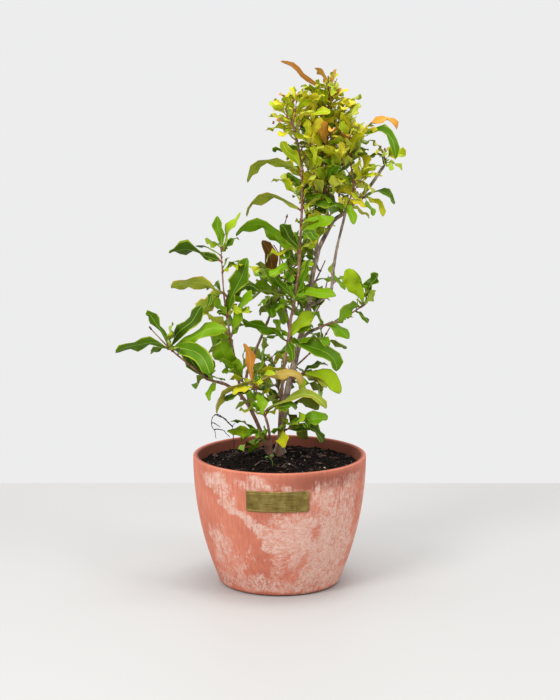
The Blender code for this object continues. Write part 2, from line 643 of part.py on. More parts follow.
def mass_stem(mass, limbs):
    """Path of a mass's own twig, 0.3 mm clear of the limb that it grows on."""
    path, radii = limbs[mass["limb"]]
    if mass["tip"]:
        end, direction = at_length(path, along(path)[-1])
        lead = 0.4 * np.linalg.norm(mass["points"][0] - end)
        return smooth_path([end + direction * GAP, end + direction * lead] + mass["points"], 2)
    return seated(smooth_path([mass["root"]] + mass["points"], 2), mass["radius"], (path, radii), sides=4)


def shown_leaves(mass, path):
    """The leaves that make the photographed outline, rooted in the twig's middle."""
    for height, right, away, up, arch, hook, width, turn in mass["shown"]:
        root, _ = at_length(path, at_height(path, height))
        reach = np.array([right, away, up], float)
        yield root + unit(reach) * LEAF_ROOT_OUT, reach, arch, hook, width, math.radians(turn)


def beside(direction, around):
    """Unit vector square to a direction, at an angle round it."""
    first, second = square_to(direction)
    return math.cos(around) * first + math.sin(around) * second


def vary(span, chance):
    """Lowest value of a span plus what chance, from 0 to 1, adds to it."""
    return span[0] + span[1] * chance


def ruled_leaf(spot, direction, around, rise, length, chance):
    """A leaf that leaves its twig at an angle, then arches and droops by chance."""
    outward = beside(direction, around)
    heading = unit(outward * math.cos(rise) + direction * math.sin(rise))
    reach = heading * length - np.array([0, 0, length * vary(LEAF_DROOP, chance[0])])
    width, arch = length * vary(LEAF_WIDTH, chance[1]), length * vary(LEAF_ARCH, chance[2])
    turn = (chance[4] - 0.5) * LEAF_TURN_RANGE
    return spot + outward * LEAF_ROOT_OUT, reach, arch, LEAF_HOOK_MOST * chance[3], width, turn


def grow_shoot(spot, direction, around, leaf_length, rng):
    """A short shoot in a leaf's axil: a pair at its middle and three leaves near its tip."""
    length = rng.uniform(*SHOOT_LENGTHS)
    end = spot + unit(beside(direction, around) * 0.8 + direction * 0.6 + (0, 0, 0.3)) * length
    shoot = smooth_path([spot, (spot + end) / 2, end + (0, 0, length * 0.15)], 2)
    yield "shoot", shoot
    for share, turn, rise in SHOOT_LEAVES:
        root, ahead = at_length(shoot, length * share)
        draws = rng.random(7)
        small = leaf_length * vary(SHOOT_LEAF, draws[0])
        turn, rise = turn + draws[1], rise + SHOOT_RISE_SPREAD * draws[1]
        yield "shoot leaf", ruled_leaf(root, ahead, turn, rise, small, draws[2:])


def grow(mass, path):
    """The seeded rule: crossed leaf pairs up the twig, small leaves or short shoots in their
    axils, and a tuft at the tip."""
    rng = np.random.default_rng(mass["seed"])
    shortest, longest = mass["leaf"]
    sizes = (shortest, longest - shortest)
    total = along(path)[-1]
    turn = rng.uniform(0, math.pi)
    distance = min(PAIR_START, total / 4)
    while distance < total - AXIL_AHEAD:
        root, direction = at_length(path, distance)
        axil, _ = at_length(path, distance + AXIL_AHEAD)
        turn += math.pi / 2 + rng.uniform(-PAIR_TURN_SPREAD, PAIR_TURN_SPREAD)
        young = 1 - YOUNGER_SHARE * distance / total
        for side in (0, math.pi):
            draws = rng.random(16)
            around = turn + side + (draws[0] - 0.5) * SIDE_TURN_SPREAD
            length = vary(sizes, draws[1]) * young
            rise = vary(LEAF_RISE, draws[2])
            yield "leaf", ruled_leaf(root, direction, around, rise, length, draws[3:8])
            if draws[8] < mass["shoots"]:
                yield from grow_shoot(axil, direction, around, length, rng)
            elif draws[8] > AXIL_LEAF_FROM:
                small, rise = length * vary(AXIL_LEAF, draws[10]), vary(AXIL_RISE, draws[2])
                yield "leaf", ruled_leaf(axil, direction, around + AXIL_TURN, rise, small, draws[11:16])
        distance += mass["pitch"] * vary(PITCH_SPREAD, rng.random())
    for step in range(mass["tips"]):
        root, direction = at_length(path, total - 0.8 - TIP_LEAF_STEP * step)
        draws = rng.random(8)
        length = vary(sizes, draws[0]) * TIP_LEAF_SHARE
        around, rise = step * TIP_LEAF_TURN + draws[1], vary(TIP_LEAF_RISE, draws[2])
        yield "leaf", ruled_leaf(root, direction, around, rise, length, draws[3:8])


def farthest(corners, path):
    """Largest distance from the corners to the path's points."""
    return np.linalg.norm(corners[:, None] - path[None], axis=2).min(axis=1).max()


def try_leaf(leaf, name, path, reach, crown, pieces):
    """Keep a leaf only where it stays in its mass's space and clear of everything else."""
    swollen = leaf_skin(leaf, LEAF_CLEARANCE)
    if farthest(swollen[0], path) > reach:
        return False
    if not crown.is_free(name, swollen, leaf_skin(leaf, LEAF_CLEARANCE, LEAF_FREE_FROM)):
        return False
    corners, faces = leaf_skin(leaf)
    crown.add(name, corners, faces)
    pieces[name].append((corners, faces))
    return True


def try_shoot(shoot, name, crown, pieces):
    """Keep a short shoot only where it is clear of everything else."""
    thick = SHOOT_RADIUS + LEAF_CLEARANCE
    if not crown.is_free(name, twig_skin(shoot, thick, thick), twig_skin(shoot[1:], thick, thick)):
        return False
    corners, faces = twig_skin(shoot, SHOOT_RADIUS, TWIG_TIP_RADIUS)
    crown.add(name, corners, faces)
    pieces[name].append((corners, faces))
    return True


def piece_object(name, corners, faces, collection, material):
    mesh = bpy.data.meshes.new(name)
    mesh.from_pydata([tuple(corner) for corner in corners * MM], [], faces)
    weld(mesh)
    return add_object(name, mesh, collection, material)


def keep_largest(mesh):
    """Drop loose scraps, and fill sealed hollows by dropping their inner walls."""
    shape = bmesh.new()
    shape.from_mesh(mesh)
    left, islands = set(shape.verts), []
    while left:
        island, edge_of_search = set(), [left.pop()]
        while edge_of_search:
            corner = edge_of_search.pop()
            island.add(corner)
            beside = {edge.other_vert(corner) for edge in corner.link_edges} & left
            left -= beside
            edge_of_search += beside
        islands.append(island)
    islands.sort(key=len)
    for island in islands[:-1]:
        bmesh.ops.delete(shape, geom=list(island), context="VERTS")
    bmesh.ops.triangulate(shape, faces=shape.faces)
    shape.to_mesh(mesh)
    shape.free()


def fuse(name, parts, collection, material):
    """One solid from a stem and what grows on it: a Boolean union on a collection, applied."""
    scraps = bpy.data.collections.new("scraps")
    bpy.context.scene.collection.children.link(scraps)
    stem = piece_object(name, *parts[0], collection, material)
    for corners, faces in parts[1:]:
        piece_object("scrap", corners, faces, scraps, material)
    union = stem.modifiers.new("union", "BOOLEAN")
    union.operation = "UNION"
    union.operand_type = "COLLECTION"
    union.collection = scraps
    union.solver = "MANIFOLD"
    joined = bpy.data.meshes.new_from_object(stem.evaluated_get(bpy.context.evaluated_depsgraph_get()))
    stem.modifiers.clear()
    stem.data = joined
    for scrap in list(scraps.objects):
        bpy.data.objects.remove(scrap, do_unlink=True)
    bpy.data.collections.remove(scraps)
    keep_largest(joined)
    return stem


def make_foliage(collection, limbs, crown):
    """All masses: shown leaves first in every mass, then the seeded rule in every mass."""
    stems, pieces = {}, {}
    for name, mass in MASSES.items():
        stems[name] = mass_stem(mass, limbs)
        corners, faces = twig_skin(stems[name], mass["radius"], TWIG_TIP_RADIUS)
        crown.add(name, corners, faces)
        pieces[name] = [(corners, faces)]
    for name, mass in MASSES.items():
        for leaf in shown_leaves(mass, stems[name]):
            try_leaf(leaf, name, stems[name], mass["reach"] + SHOWN_REACH_EXTRA, crown, pieces)
    for name, mass in MASSES.items():
        on_shoot = False
        for kind, growth in grow(mass, stems[name]):
            if kind == "shoot":
                on_shoot = try_shoot(growth, name, crown, pieces)
            elif kind == "leaf" or on_shoot:
                try_leaf(growth, name, stems[name], mass["reach"], crown, pieces)
    for name, parts in pieces.items():
        fuse(name, parts, collection, "yellow" if name in YELLOW_MASSES else "green")


def make_dead_twigs(collection, crown):
    """Wiry twigs joined at their knot; the upright stands on the soil."""
    parts = []
    for points in DEAD_TWIGS:
        parts.append(twig_skin(smooth_path(points, 2), DEAD_TWIG_RADIUS, DEAD_TWIG_RADIUS))
    fuse("dead_twigs", parts, collection, "dead")
    for corners, faces in parts:
        crown.add("dead_twigs", corners, faces)


def main():
    clear_scene()
    collection = bpy.data.collections.new("pomegranate_tree")
    bpy.context.scene.collection.children.link(collection)
    crown = Crown()
    for thing in (make_pot(collection), make_soil(collection), make_plate(collection)):
        crown.add(thing.name, *mesh_data(thing))
    limbs = make_limbs(collection)
    for name in LIMBS:
        crown.add(name, *mesh_data(collection.objects[name]))
    make_dead_twigs(collection, crown)
    make_foliage(collection, limbs, crown)


main()
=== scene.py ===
import math

import bpy
import numpy as np
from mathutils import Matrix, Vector
from mathutils.bvhtree import BVHTree


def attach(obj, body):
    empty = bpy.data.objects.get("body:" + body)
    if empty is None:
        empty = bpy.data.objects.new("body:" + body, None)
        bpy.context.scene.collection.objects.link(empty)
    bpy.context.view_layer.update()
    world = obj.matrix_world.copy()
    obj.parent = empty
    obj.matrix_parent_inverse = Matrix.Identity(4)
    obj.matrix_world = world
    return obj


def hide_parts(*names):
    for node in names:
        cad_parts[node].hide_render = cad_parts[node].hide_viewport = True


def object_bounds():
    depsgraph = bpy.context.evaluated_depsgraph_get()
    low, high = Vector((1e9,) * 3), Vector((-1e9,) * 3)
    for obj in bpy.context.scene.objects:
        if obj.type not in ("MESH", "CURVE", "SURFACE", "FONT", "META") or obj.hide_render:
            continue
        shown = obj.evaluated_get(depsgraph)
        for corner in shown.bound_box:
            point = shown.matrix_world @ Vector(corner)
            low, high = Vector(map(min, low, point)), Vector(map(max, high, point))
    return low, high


# Young pomegranate tree in a lime-washed planter. Lengths are millimetres until a mesh is made.
# The frame is the CAD model's: origin under the middle of the pot, x right, y away from the plate, z up.
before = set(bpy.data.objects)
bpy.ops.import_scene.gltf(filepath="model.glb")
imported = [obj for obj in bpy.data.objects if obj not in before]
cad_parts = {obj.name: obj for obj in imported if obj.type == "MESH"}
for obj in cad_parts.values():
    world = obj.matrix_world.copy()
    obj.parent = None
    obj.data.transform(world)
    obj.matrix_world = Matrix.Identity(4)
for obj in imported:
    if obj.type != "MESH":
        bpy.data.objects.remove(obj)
cadBox = [list(corner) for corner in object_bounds()]
mm = 0.001
print("frame loaded,", len(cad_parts), "nodes")


# Shared tools

def toLinear(hexColor):
    # each channel c: c / 12.92 up to 0.04045, else ((c + 0.055) / 1.055) to the power of 2.4
    channels = np.array([int(hexColor[k:k + 2], 16) for k in (1, 3, 5)]) / 255
    linear = np.where(channels <= 0.04045, channels / 12.92, ((channels + 0.055) / 1.055) ** 2.4)
    return (*linear.tolist(), 1.0)


def addNode(tree, kind, links=None, stops=None, out=0, **settings):
    # one node with its settings, and its output; each link is a value for an input or the output that feeds it
    node = tree.nodes.new("ShaderNode" + kind)
    for name, value in settings.items():
        setattr(node, name, value)
    for name, value in (links or {}).items():
        if isinstance(value, bpy.types.NodeSocket):
            tree.links.new(value, node.inputs[name])
        else:
            node.inputs[name].default_value = value
    for k, (place, hexColor) in enumerate(stops or []):
        stop = node.color_ramp.elements[k] if k < 2 else node.color_ramp.elements.new(place)
        stop.position, stop.color = place, toLinear(hexColor)
    return node.outputs[out]


def feed(tree, socket, output):
    # an output of a node into the material's own shader
    tree.links.new(output, tree.nodes["Principled BSDF"].inputs[socket])


def newMaterial(name, hexColor, roughness, **others):
    # one plain colour and roughness, and other sockets of the shader by name
    material = bpy.data.materials.new(name)
    material.use_nodes = True
    sockets = material.node_tree.nodes["Principled BSDF"].inputs
    values = {"Base Color": toLinear(hexColor), "Roughness": roughness, "IOR": 1.5, **others}
    for socket, value in values.items():
        sockets[socket].default_value = value
    return material


def setBump(tree, height, distance, strength):
    # relief too fine for the mesh, distance in metres
    feed(tree, "Normal", addNode(tree, "Bump", {"Height": height, "Distance": distance, "Strength": strength}))


def intoScene(name, data):
    # an object for a mesh, a lamp or a camera
    thing = bpy.data.objects.new(name, data)
    bpy.context.scene.collection.objects.link(thing)
    return thing


def makePiece(name, points, faces, materials, slot, materialOf=None, smooth=True, stands=()):
    # points in millimetres; materialOf gives each face its material's number;
    # stands are the CAD nodes that it replaces
    mesh = bpy.data.meshes.new(name)
    mesh.from_pydata((np.asarray(points) * mm).tolist(), [], [list(face) for face in faces])
    for material in materials:
        mesh.materials.append(material)
    if materialOf is not None:
        mesh.polygons.foreach_set("material_index", np.asarray(materialOf, np.int32))
    mesh.polygons.foreach_set("use_smooth", np.full(len(faces), smooth))
    mesh.update()
    piece = intoScene(name, mesh)
    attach(piece, "root")
    if stands:
        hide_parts(*stands)
    return piece


def setValues(piece, name, values):
    # a number at each point, for a material to read
    attribute = piece.data.attributes.new(name, "FLOAT", "POINT")
    attribute.data.foreach_set("value", np.asarray(values, np.float32))


def gridFaces(rows, columns, wrap=False):
    # four corners of each cell of a grid of points, numbered row by row;
    # wrap joins the last column to the first
    row, column = np.meshgrid(np.arange(rows - 1), np.arange(columns if wrap else columns - 1), indexing="ij")
    ahead = (column + 1) % columns
    here, above = row * columns, (row + 1) * columns
    return np.stack([here + column, here + ahead, above + ahead, above + column], axis=-1).reshape(-1, 4)


def joined(parts):
    # several (points, faces) as one, and the number of the part that each face comes from
    points, faces, partOf, start = [], [], [], 0
    for number, (partPoints, partFaces) in enumerate(parts):
        points.append(partPoints)
        faces += [[corner + start for corner in face] for face in partFaces]
        partOf += [number] * len(partFaces)
        start += len(partPoints)
    return np.vstack(points), faces, np.array(partOf)


def lumps(points, size, seed, waves=14):
    # soft noise from -1 to 1: the mean of sine waves in random directions, about size apart
    rng = np.random.default_rng(seed)
    heading = rng.normal(size=(waves, 3))
    heading *= (2 * math.pi / size * rng.uniform(0.6, 1.5, waves) / np.linalg.norm(heading, axis=1))[:, None]
    return np.clip(np.sin(points @ heading.T + rng.uniform(0, 6.28, waves)).mean(axis=-1) * 2.4, -1, 1)


def unit(vector):
    # a vector over its own length
    return vector / np.maximum(np.linalg.norm(vector, axis=-1, keepdims=True), 1e-9)


def smoothPath(points, perSpan=5):
    # Catmull-Rom curve: between b and c it is half of 2b + (c-a)t + (2a-5b+4c-d)t^2 + (3b-a-3c+d)t^3
    corners = np.array(points, float)
    corners = np.vstack([2 * corners[0] - corners[1], corners, 2 * corners[-1] - corners[-2]])
    t = np.linspace(0, 1, perSpan, endpoint=False)[:, None]
    spans = [
        0.5 * (2 * b + (c - a) * t + (2 * a - 5 * b + 4 * c - d) * t**2 + (3 * b - a - 3 * c + d) * t**3)
        for a, b, c, d in zip(corners, corners[1:], corners[2:], corners[3:])]
    return np.vstack(spans + [corners[-2:-1]])


def along(path):
    # distance of each point of a path from its root
    return np.concatenate([[0], np.cumsum(np.linalg.norm(np.diff(path, axis=0), axis=1))])


def atLength(path, distance):
    # point and direction at a distance from the root
    lengths = along(path)
    spots = [[np.interp(distance + step, lengths, path[:, axis]) for axis in range(3)] for step in (0, 1, -1)]
    point, ahead, behind = np.array(spots)
    return point, unit(ahead - behind)


def evenly(path, step):
    # the same path with points a step apart
    lengths = along(path)
    places = np.linspace(0, lengths[-1], max(3, int(round(lengths[-1] / step)) + 1))
    return np.stack([np.interp(places, lengths, path[:, axis]) for axis in range(3)], axis=1)


def squareTo(direction):
    # two directions square to one another and to the given one
    guide = np.array([0.0, 0, 1]) if abs(direction[2]) < 0.9 else np.array([1.0, 0, 0])
    first = unit(np.cross(direction, guide))
    return first, unit(np.cross(direction, first))


def frameAlong(path):
    # slope and two directions square to it at each point: the first is kept as parallel as the bends allow
    slope = unit(np.gradient(path, axis=0))
    first, _ = squareTo(unit(path[-1] - path[0]))
    side = unit(first - slope * (slope @ first)[:, None])
    return slope, side, np.cross(slope, side)


def capped(rings, start, end):
    # a closed skin through rings of corners, rows by sides, that runs to a point at each end
    rows, sides = rings.shape[:2]
    foot, top, last = rows * sides, rows * sides + 1, (rows - 1) * sides
    faces = gridFaces(rows, sides, wrap=True).tolist()
    faces += [[(k + 1) % sides, k, foot] for k in range(sides)]
    faces += [[last + k, last + (k + 1) % sides, top] for k in range(sides)]
    return np.vstack([rings.reshape(-1, 3), [start, end]]), faces


def tube(path, radii, sides):
    # rings square to the path, centre + r (cos t first + sin t second), and end points half a radius
    # further out; radii is one per ring or one per ring and side
    slope, side, other = frameAlong(path)
    turns = np.linspace(0, 2 * math.pi, sides, endpoint=False)
    radii = np.asarray(radii, float)
    radii = radii[:, None] * np.ones(sides) if radii.ndim == 1 else radii
    spokes = np.cos(turns)[:, None] * side[:, None] + np.sin(turns)[:, None] * other[:, None]
    rings = path[:, None] + radii[..., None] * spokes
    start = path[0] - slope[0] * radii[0].mean() * 0.5
    end = path[-1] + slope[-1] * radii[-1].mean() * 0.5
    return capped(rings, start, end)


def turned(profile, steps):
    # a profile of radius and height carried round the upright axis, its ends closed to a point on the axis;
    # it runs with the solid on its right, so that faces look outward
    radius, height = np.array(profile[1:-1], float).T
    turns = np.linspace(0, 2 * math.pi, steps, endpoint=False)
    rings = np.stack([radius[:, None] * np.cos(turns), radius[:, None] * np.sin(turns),
                      height[:, None] * np.ones(steps)], axis=-1)
    return capped(rings, (0, 0, profile[0][1]), (0, 0, profile[-1][1]))


# Camera, light and floor

stage = {
    "cameraPlace": (0.0004, -2.0, 0.601),  # metres
    "cameraDown": 10.27,  # degrees below level
    "lens": 104.14,  # mm on a 36 mm long side
    "tableBehind": 0.405,  # where the table ends behind the pot
    "tableReach": 4.0,
    "tableColor": "#bab9b7", "backColor": "#ededee", "backStrength": 1.0,
    "lamps": [  # name, place, aimed at, size in metres, power in watts
        ("softboxLeft", (-1.2, -1.5, 1.6), (0, 0, 0.25), 0.8, 31),
        ("softboxRight", (1.5, -1.0, 1.7), (0, 0, 0.2), 0.6, 10),
        ("softboxTop", (0.1, 0.0, 2.2), (0, 0, 0.2), 0.8, 23)],
}


def makeStage():
    # an even backdrop, a table that ends behind the pot, soft lamps and the photograph's camera
    scene = bpy.context.scene
    scene.world = bpy.data.worlds.new("paleBackdrop")
    scene.world.use_nodes = True
    background = scene.world.node_tree.nodes["Background"].inputs
    background["Color"].default_value = toLinear(stage["backColor"])
    background["Strength"].default_value = stage["backStrength"]
    behind, reach = stage["tableBehind"], stage["tableReach"]
    mesh = bpy.data.meshes.new("table")
    mesh.from_pydata([(-reach, -reach, 0), (reach, -reach, 0), (reach, behind, 0), (-reach, behind, 0)], [],
                     [(0, 1, 2, 3)])
    mesh.materials.append(newMaterial("matte pale table, painted", stage["tableColor"], 0.55))
    intoScene("table", mesh)
    for name, place, target, size, power in stage["lamps"]:
        light = bpy.data.lights.new(name, "AREA")
        light.size, light.energy = size, power
        lamp = intoScene(name, light)
        lamp.location = place
        lamp.rotation_euler = (Vector(target) - Vector(place)).to_track_quat("-Z", "Y").to_euler()
    camera = intoScene("camera", bpy.data.cameras.new("camera"))
    camera.data.lens = stage["lens"]
    camera.location = stage["cameraPlace"]
    camera.rotation_euler = (math.radians(90 - stage["cameraDown"]), 0, 0)
    scene.camera = camera
    scene.view_settings.view_transform = "Standard"


makeStage()
print("stage ready")


# Planter

pot = {
    "height": 132.0, "rimRadius": 87.5, "swell": 27.4, "swellPower": 2.1,
    "wall": 5.0, "floor": 7.0, "baseCorner": 7.0, "rimRound": 1.3,
    "steps": 216, "insideRows": 22, "outsideRows": 72,
    "clay": ("#ae6049", "#c7735a", "#d3866b"),  # dark, middle and light
    "shade": "#7d3f2c",  # painted shade inside, and under the rim
    "wash": ("#cd9a86", "#dcbdb0"),  # thin and thick lime wash
    "film": (1.24, 1.95),  # where the wash begins and where it is whole
    "veil": 0.54, "ridges": 0.95,  # how much its veil and its brush lines cover
    # lime wash on the outside: degrees round from the plate, height, half width and half height,
    # lean in degrees, strength
    "patches": [
        (-47, 118, 20, 7, 0, 0.75), (-41, 108, 10, 9, 30, 0.55), (-38, 96, 7, 9, 40, 0.75),
        (-29, 88, 13, 5, -32, 0.85), (-18, 78, 13, 5, -35, 0.85), (-16, 121, 17, 6, 0, 0.6),
        (-8, 108, 22, 4, -8, 0.45), (8, 113, 16, 4, 4, 0.55), (34, 104, 28, 13, 0, 0.62),
        (47, 98, 24, 26, 0, 0.68), (11, 66, 26, 26, 0, 0.92), (22, 42, 22, 28, 0, 0.86),
        (-6, 52, 8, 24, 12, 0.7), (45, 55, 28, 42, 0, 0.82), (-2, 36, 10, 16, 15, 0.55),
        (-50, 48, 16, 26, 0, 0.62), (-34, 26, 9, 16, -20, 0.62), (-24, 42, 3, 12, -10, 0.5),
        (0, 12, 62, 11, 0, 0.66), (-45, 12, 40, 10, 0, 0.55), (55, 14, 30, 12, 0, 0.75),
        (95, 70, 40, 50, 0, 0.55), (130, 96, 34, 16, 20, 0.7), (160, 40, 40, 30, -10, 0.75),
        (190, 104, 26, 10, 0, 0.6), (205, 72, 20, 30, 25, 0.8), (235, 30, 44, 20, 0, 0.65),
        (262, 88, 22, 26, -20, 0.6), (180, 14, 80, 9, 0, 0.6)],
    "cleanStreaks": [  # where the wash has run off
        (15, 30, 4, 17, -25, 0.6), (7, 24, 4, 9, -40, 0.4), (26, 66, 5, 10, -15, 0.2),
        (200, 40, 6, 30, 10, 0.6), (120, 60, 6, 24, -12, 0.5)],
    "underRimShade": [(32, 121, 46, 8, 0, 1), (150, 121, 60, 8, 0, 0.8)],  # painted shade under the rim, partly a darker band of clay
    "meanRadius": 82,  # turns the patches' degrees into millimetres
    # how the patches' edges wander: how far, over what distance and seed, in degrees and in millimetres
    "wanderRound": [(4.5, 17, 6), (3, 7, 7)], "wanderUp": [(5, 21, 8), (2.5, 8, 9)],
    "uneven": [(0.10, 34, 5)],  # and how the wash is thicker and thinner
    "brushed": (12, 26, 52, 42),  # where the brush rippled the wash: degrees, half width, height, half height
}


def potRadius(height):
    # rim radius less swell times (1 - share of the height) to a power
    return pot["rimRadius"] - pot["swell"] * (1 - np.asarray(height) / pot["height"]) ** pot["swellPower"]


def patchSum(patches, degrees, height):
    # the strongest of the patches, each strength times exp(-0.7 ((x / half width)^4 + (y / half height)^4)),
    # x and y in millimetres from its middle, leaned by its angle
    total = np.zeros(len(degrees))
    for centre, level, halfWidth, halfHeight, lean, strength in patches:
        x = ((degrees - centre + 180) % 360 - 180) * math.pi / 180 * pot["meanRadius"]
        y = height - level
        c, s = math.cos(math.radians(lean)), math.sin(math.radians(lean))
        total = np.maximum(total, strength * np.exp(
            -(((x * c + y * s) / halfWidth) ** 4 + ((y * c - x * s) / halfHeight) ** 4) * 0.7))
    return total


def potMaterial():
    # Stone-and-resin composite, moulded, with a lime wash brushed on and wiped off:
    # chalky, mottled pink over brick, rippled where the brush dragged, streaked where it ran; painted shade
    # darkens it inside and under the rim
    material = newMaterial("stone composite, moulded and lime-washed", pot["clay"][1], 0.78)
    tree = material.node_tree
    place = addNode(tree, "TexCoord", out="Object")
    ripples = addNode(tree, "TexNoise", {  # brush ripples 3 mm high and about 12 mm long
        "Vector": addNode(tree, "Mapping", {"Vector": place, "Scale": (84, 84, 330)}),
        "Scale": 1.0, "Detail": 3.0, "Roughness": 0.6, "Distortion": 1.9})
    streaks = addNode(tree, "TexNoise", {  # runs 2 mm wide and about 25 mm long
        "Vector": addNode(tree, "Mapping", {"Vector": place, "Scale": (420, 420, 38)}),
        "Scale": 1.0, "Detail": 3.0, "Roughness": 0.65, "Distortion": 0.6})
    lace = addNode(tree, "TexNoise", {  # broken edges, 5 mm across
        "Vector": place, "Scale": 190.0, "Detail": 5.0, "Roughness": 0.68, "Distortion": 1.2})
    clouds = addNode(tree, "TexNoise", {"Vector": place, "Scale": 26.0, "Detail": 3.0})  # 40 mm across
    rippled, washed, shaded = (addNode(tree, "Attribute", out="Fac", attribute_name=name)
                               for name in ("rippled", "limeWash", "shaded"))
    drag = addNode(tree, "Mix", {0: rippled, 2: streaks, 3: ripples})
    broken = addNode(tree, "Math", {0: drag, 1: lace}, operation="ADD")
    level = addNode(tree, "Math", {0: broken, 1: 1.05, 2: washed}, operation="MULTIPLY_ADD")
    film = addNode(tree, "MapRange", {"Value": level, "From Min": pot["film"][0], "From Max": pot["film"][1]},
                   interpolation_type="SMOOTHSTEP")
    # pale lines where the drag noise crosses its middle: 1 - 13 |n - 0.5|, kept where the wash lies
    off = addNode(tree, "Math", {0: drag, 1: 0.5}, operation="SUBTRACT")
    ridge = addNode(tree, "Math", {0: off}, operation="ABSOLUTE")
    line = addNode(tree, "Math", {0: ridge, 1: -13.0, 2: 1.0}, operation="MULTIPLY_ADD", use_clamp=True)
    lines = addNode(tree, "Math", {0: line, 1: film}, operation="MULTIPLY")
    veil = addNode(tree, "Math", {0: film, 1: pot["veil"]}, operation="MULTIPLY")
    cover = addNode(tree, "Math", {0: lines, 1: pot["ridges"], 2: veil},
                    operation="MULTIPLY_ADD", use_clamp=True)
    clay = addNode(tree, "ValToRGB", {"Fac": addNode(tree, "Mix", {0: 0.45, 2: clouds, 3: streaks})},
                   stops=list(zip((0.30, 0.52, 0.70), pot["clay"])))
    # painted shade: the clay goes to the shade colour where "shaded" is high, inside the pot and under the rim
    clay = addNode(tree, "Mix", {0: shaded, 6: clay, 7: toLinear(pot["shade"])}, out=2, data_type="RGBA")
    lime = addNode(tree, "ValToRGB", {"Fac": lace}, stops=list(zip((0.35, 0.65), pot["wash"])))
    feed(tree, "Base Color", addNode(tree, "Mix", {0: cover, 6: clay, 7: lime}, out=2, data_type="RGBA"))
    grit = addNode(tree, "TexNoise", {"Vector": place, "Scale": 1400.0, "Detail": 2.0})  # grains 0.7 mm across
    height = addNode(tree, "Math", {0: film, 1: 0.6, 2: grit}, operation="MULTIPLY_ADD")
    setBump(tree, height, 0.00018, 0.6)
    return material


def wander(values, points, terms):
    # values plus soft noise, its height times the noise at each point, for every term
    for height, size, seed in terms:
        values = values + height * lumps(points, size, seed)
    return values


def makePot():
    # a profile that runs from the floor up the inside, over the rounded lip, down the outside
    # and round the foot
    top, lip, wall = pot["height"], pot["rimRadius"], pot["wall"]
    edge, foot = pot["rimRound"], pot["baseCorner"]
    quarter = np.linspace(0, math.pi / 2, 5)
    inside = [(float(potRadius(z)) - wall, float(z)) for z in np.linspace(10, top - 2.2, pot["insideRows"])]
    lipIn = [(lip - wall + edge * (1 - math.cos(a)), top - edge * (1 - math.sin(a))) for a in quarter]
    lipOut = [(lip - edge * (1 - math.sin(a)), top - edge * (1 - math.cos(a))) for a in quarter]
    outside = [(float(potRadius(z)), float(z)) for z in np.linspace(top - 2.6, foot, pot["outsideRows"])]
    base = outside[-1][0] - foot
    turn = np.linspace(0, math.pi / 2, 7)[1:]
    corner = [(base + foot * math.cos(a), foot * (1 - math.sin(a))) for a in turn]
    floor = [(0, pot["floor"]), (inside[0][0] - 5, pot["floor"])]
    points, faces = turned([*floor, *inside, *lipIn, *lipOut, *outside, *corner, (0, 0)][::-1], pot["steps"])
    piece = makePiece("limeWashedPot", points, faces, [potMaterial()], "pot", stands=["pot"])
    degrees, height = np.degrees(np.arctan2(points[:, 0], -points[:, 1])), points[:, 2]
    wash = patchSum(pot["patches"], wander(degrees, points, pot["wanderRound"]),
                    wander(height, points, pot["wanderUp"]))
    wash = wander(wash - 0.8 * patchSum(pot["cleanStreaks"], degrees, height), points, pot["uneven"])
    radius = np.hypot(points[:, 0], points[:, 1])
    inner = (radius < potRadius(np.clip(height, 0, top)) - wall / 2) | (height < 1)
    setValues(piece, "limeWash", np.where(inner, 0.05, wash))
    # painted shade: most on the inside wall and floor, less in bands under the rim
    setValues(piece, "shaded", np.where(inner, 0.85, 0.7 * patchSum(pot["underRimShade"], degrees, height)))
    turn, halfTurn, middle, halfHeight = pot["brushed"]
    away = ((degrees - turn) / halfTurn) ** 4 + ((height - middle) / halfHeight) ** 4
    setValues(piece, "rippled", np.exp(-away))


makePot()
print("pot ready")


# Brass plate, left bare

plate = {
    "low": 93.0, "high": 114.0, "width": 63.0, "thickness": 1.2, "offCentre": -2.0, "gap": 0.1, "corner": 1.4,
    "rounded": 0.55, "roundDepth": 0.5,  # how far in and how deep its edge is rounded
    "line": 1.9, "lineDepth": 0.30, "lineWidth": 0.3,  # stamped line along the edge
    "color": ("#5f5127", "#85733b", "#a8955a"),
}


def plateMaterial():
    # Brass, rolled, brushed along its length and aged: dull olive gold, darker where fingers never rub
    material = newMaterial("brass, rolled, brushed and aged", plate["color"][1], 0.42, Metallic=0.85)
    tree = material.node_tree
    place = addNode(tree, "TexCoord", out="Object")
    brushed = addNode(tree, "TexNoise", {  # brush lines 0.6 mm apart, coarser than real ones so that they show
        "Vector": addNode(tree, "Mapping", {"Vector": place, "Scale": (60, 60, 1600)}),
        "Scale": 1.0, "Detail": 2.0})
    patina = addNode(tree, "TexNoise", {"Vector": place, "Scale": 130.0, "Detail": 4.0, "Roughness": 0.6})
    both = addNode(tree, "Mix", {0: 0.6, 2: brushed, 3: patina})
    feed(tree, "Base Color", addNode(tree, "ValToRGB", {"Fac": both},
                                     stops=list(zip((0.34, 0.5, 0.68), plate["color"]))))
    setBump(tree, both, 0.00008, 0.7)
    return material


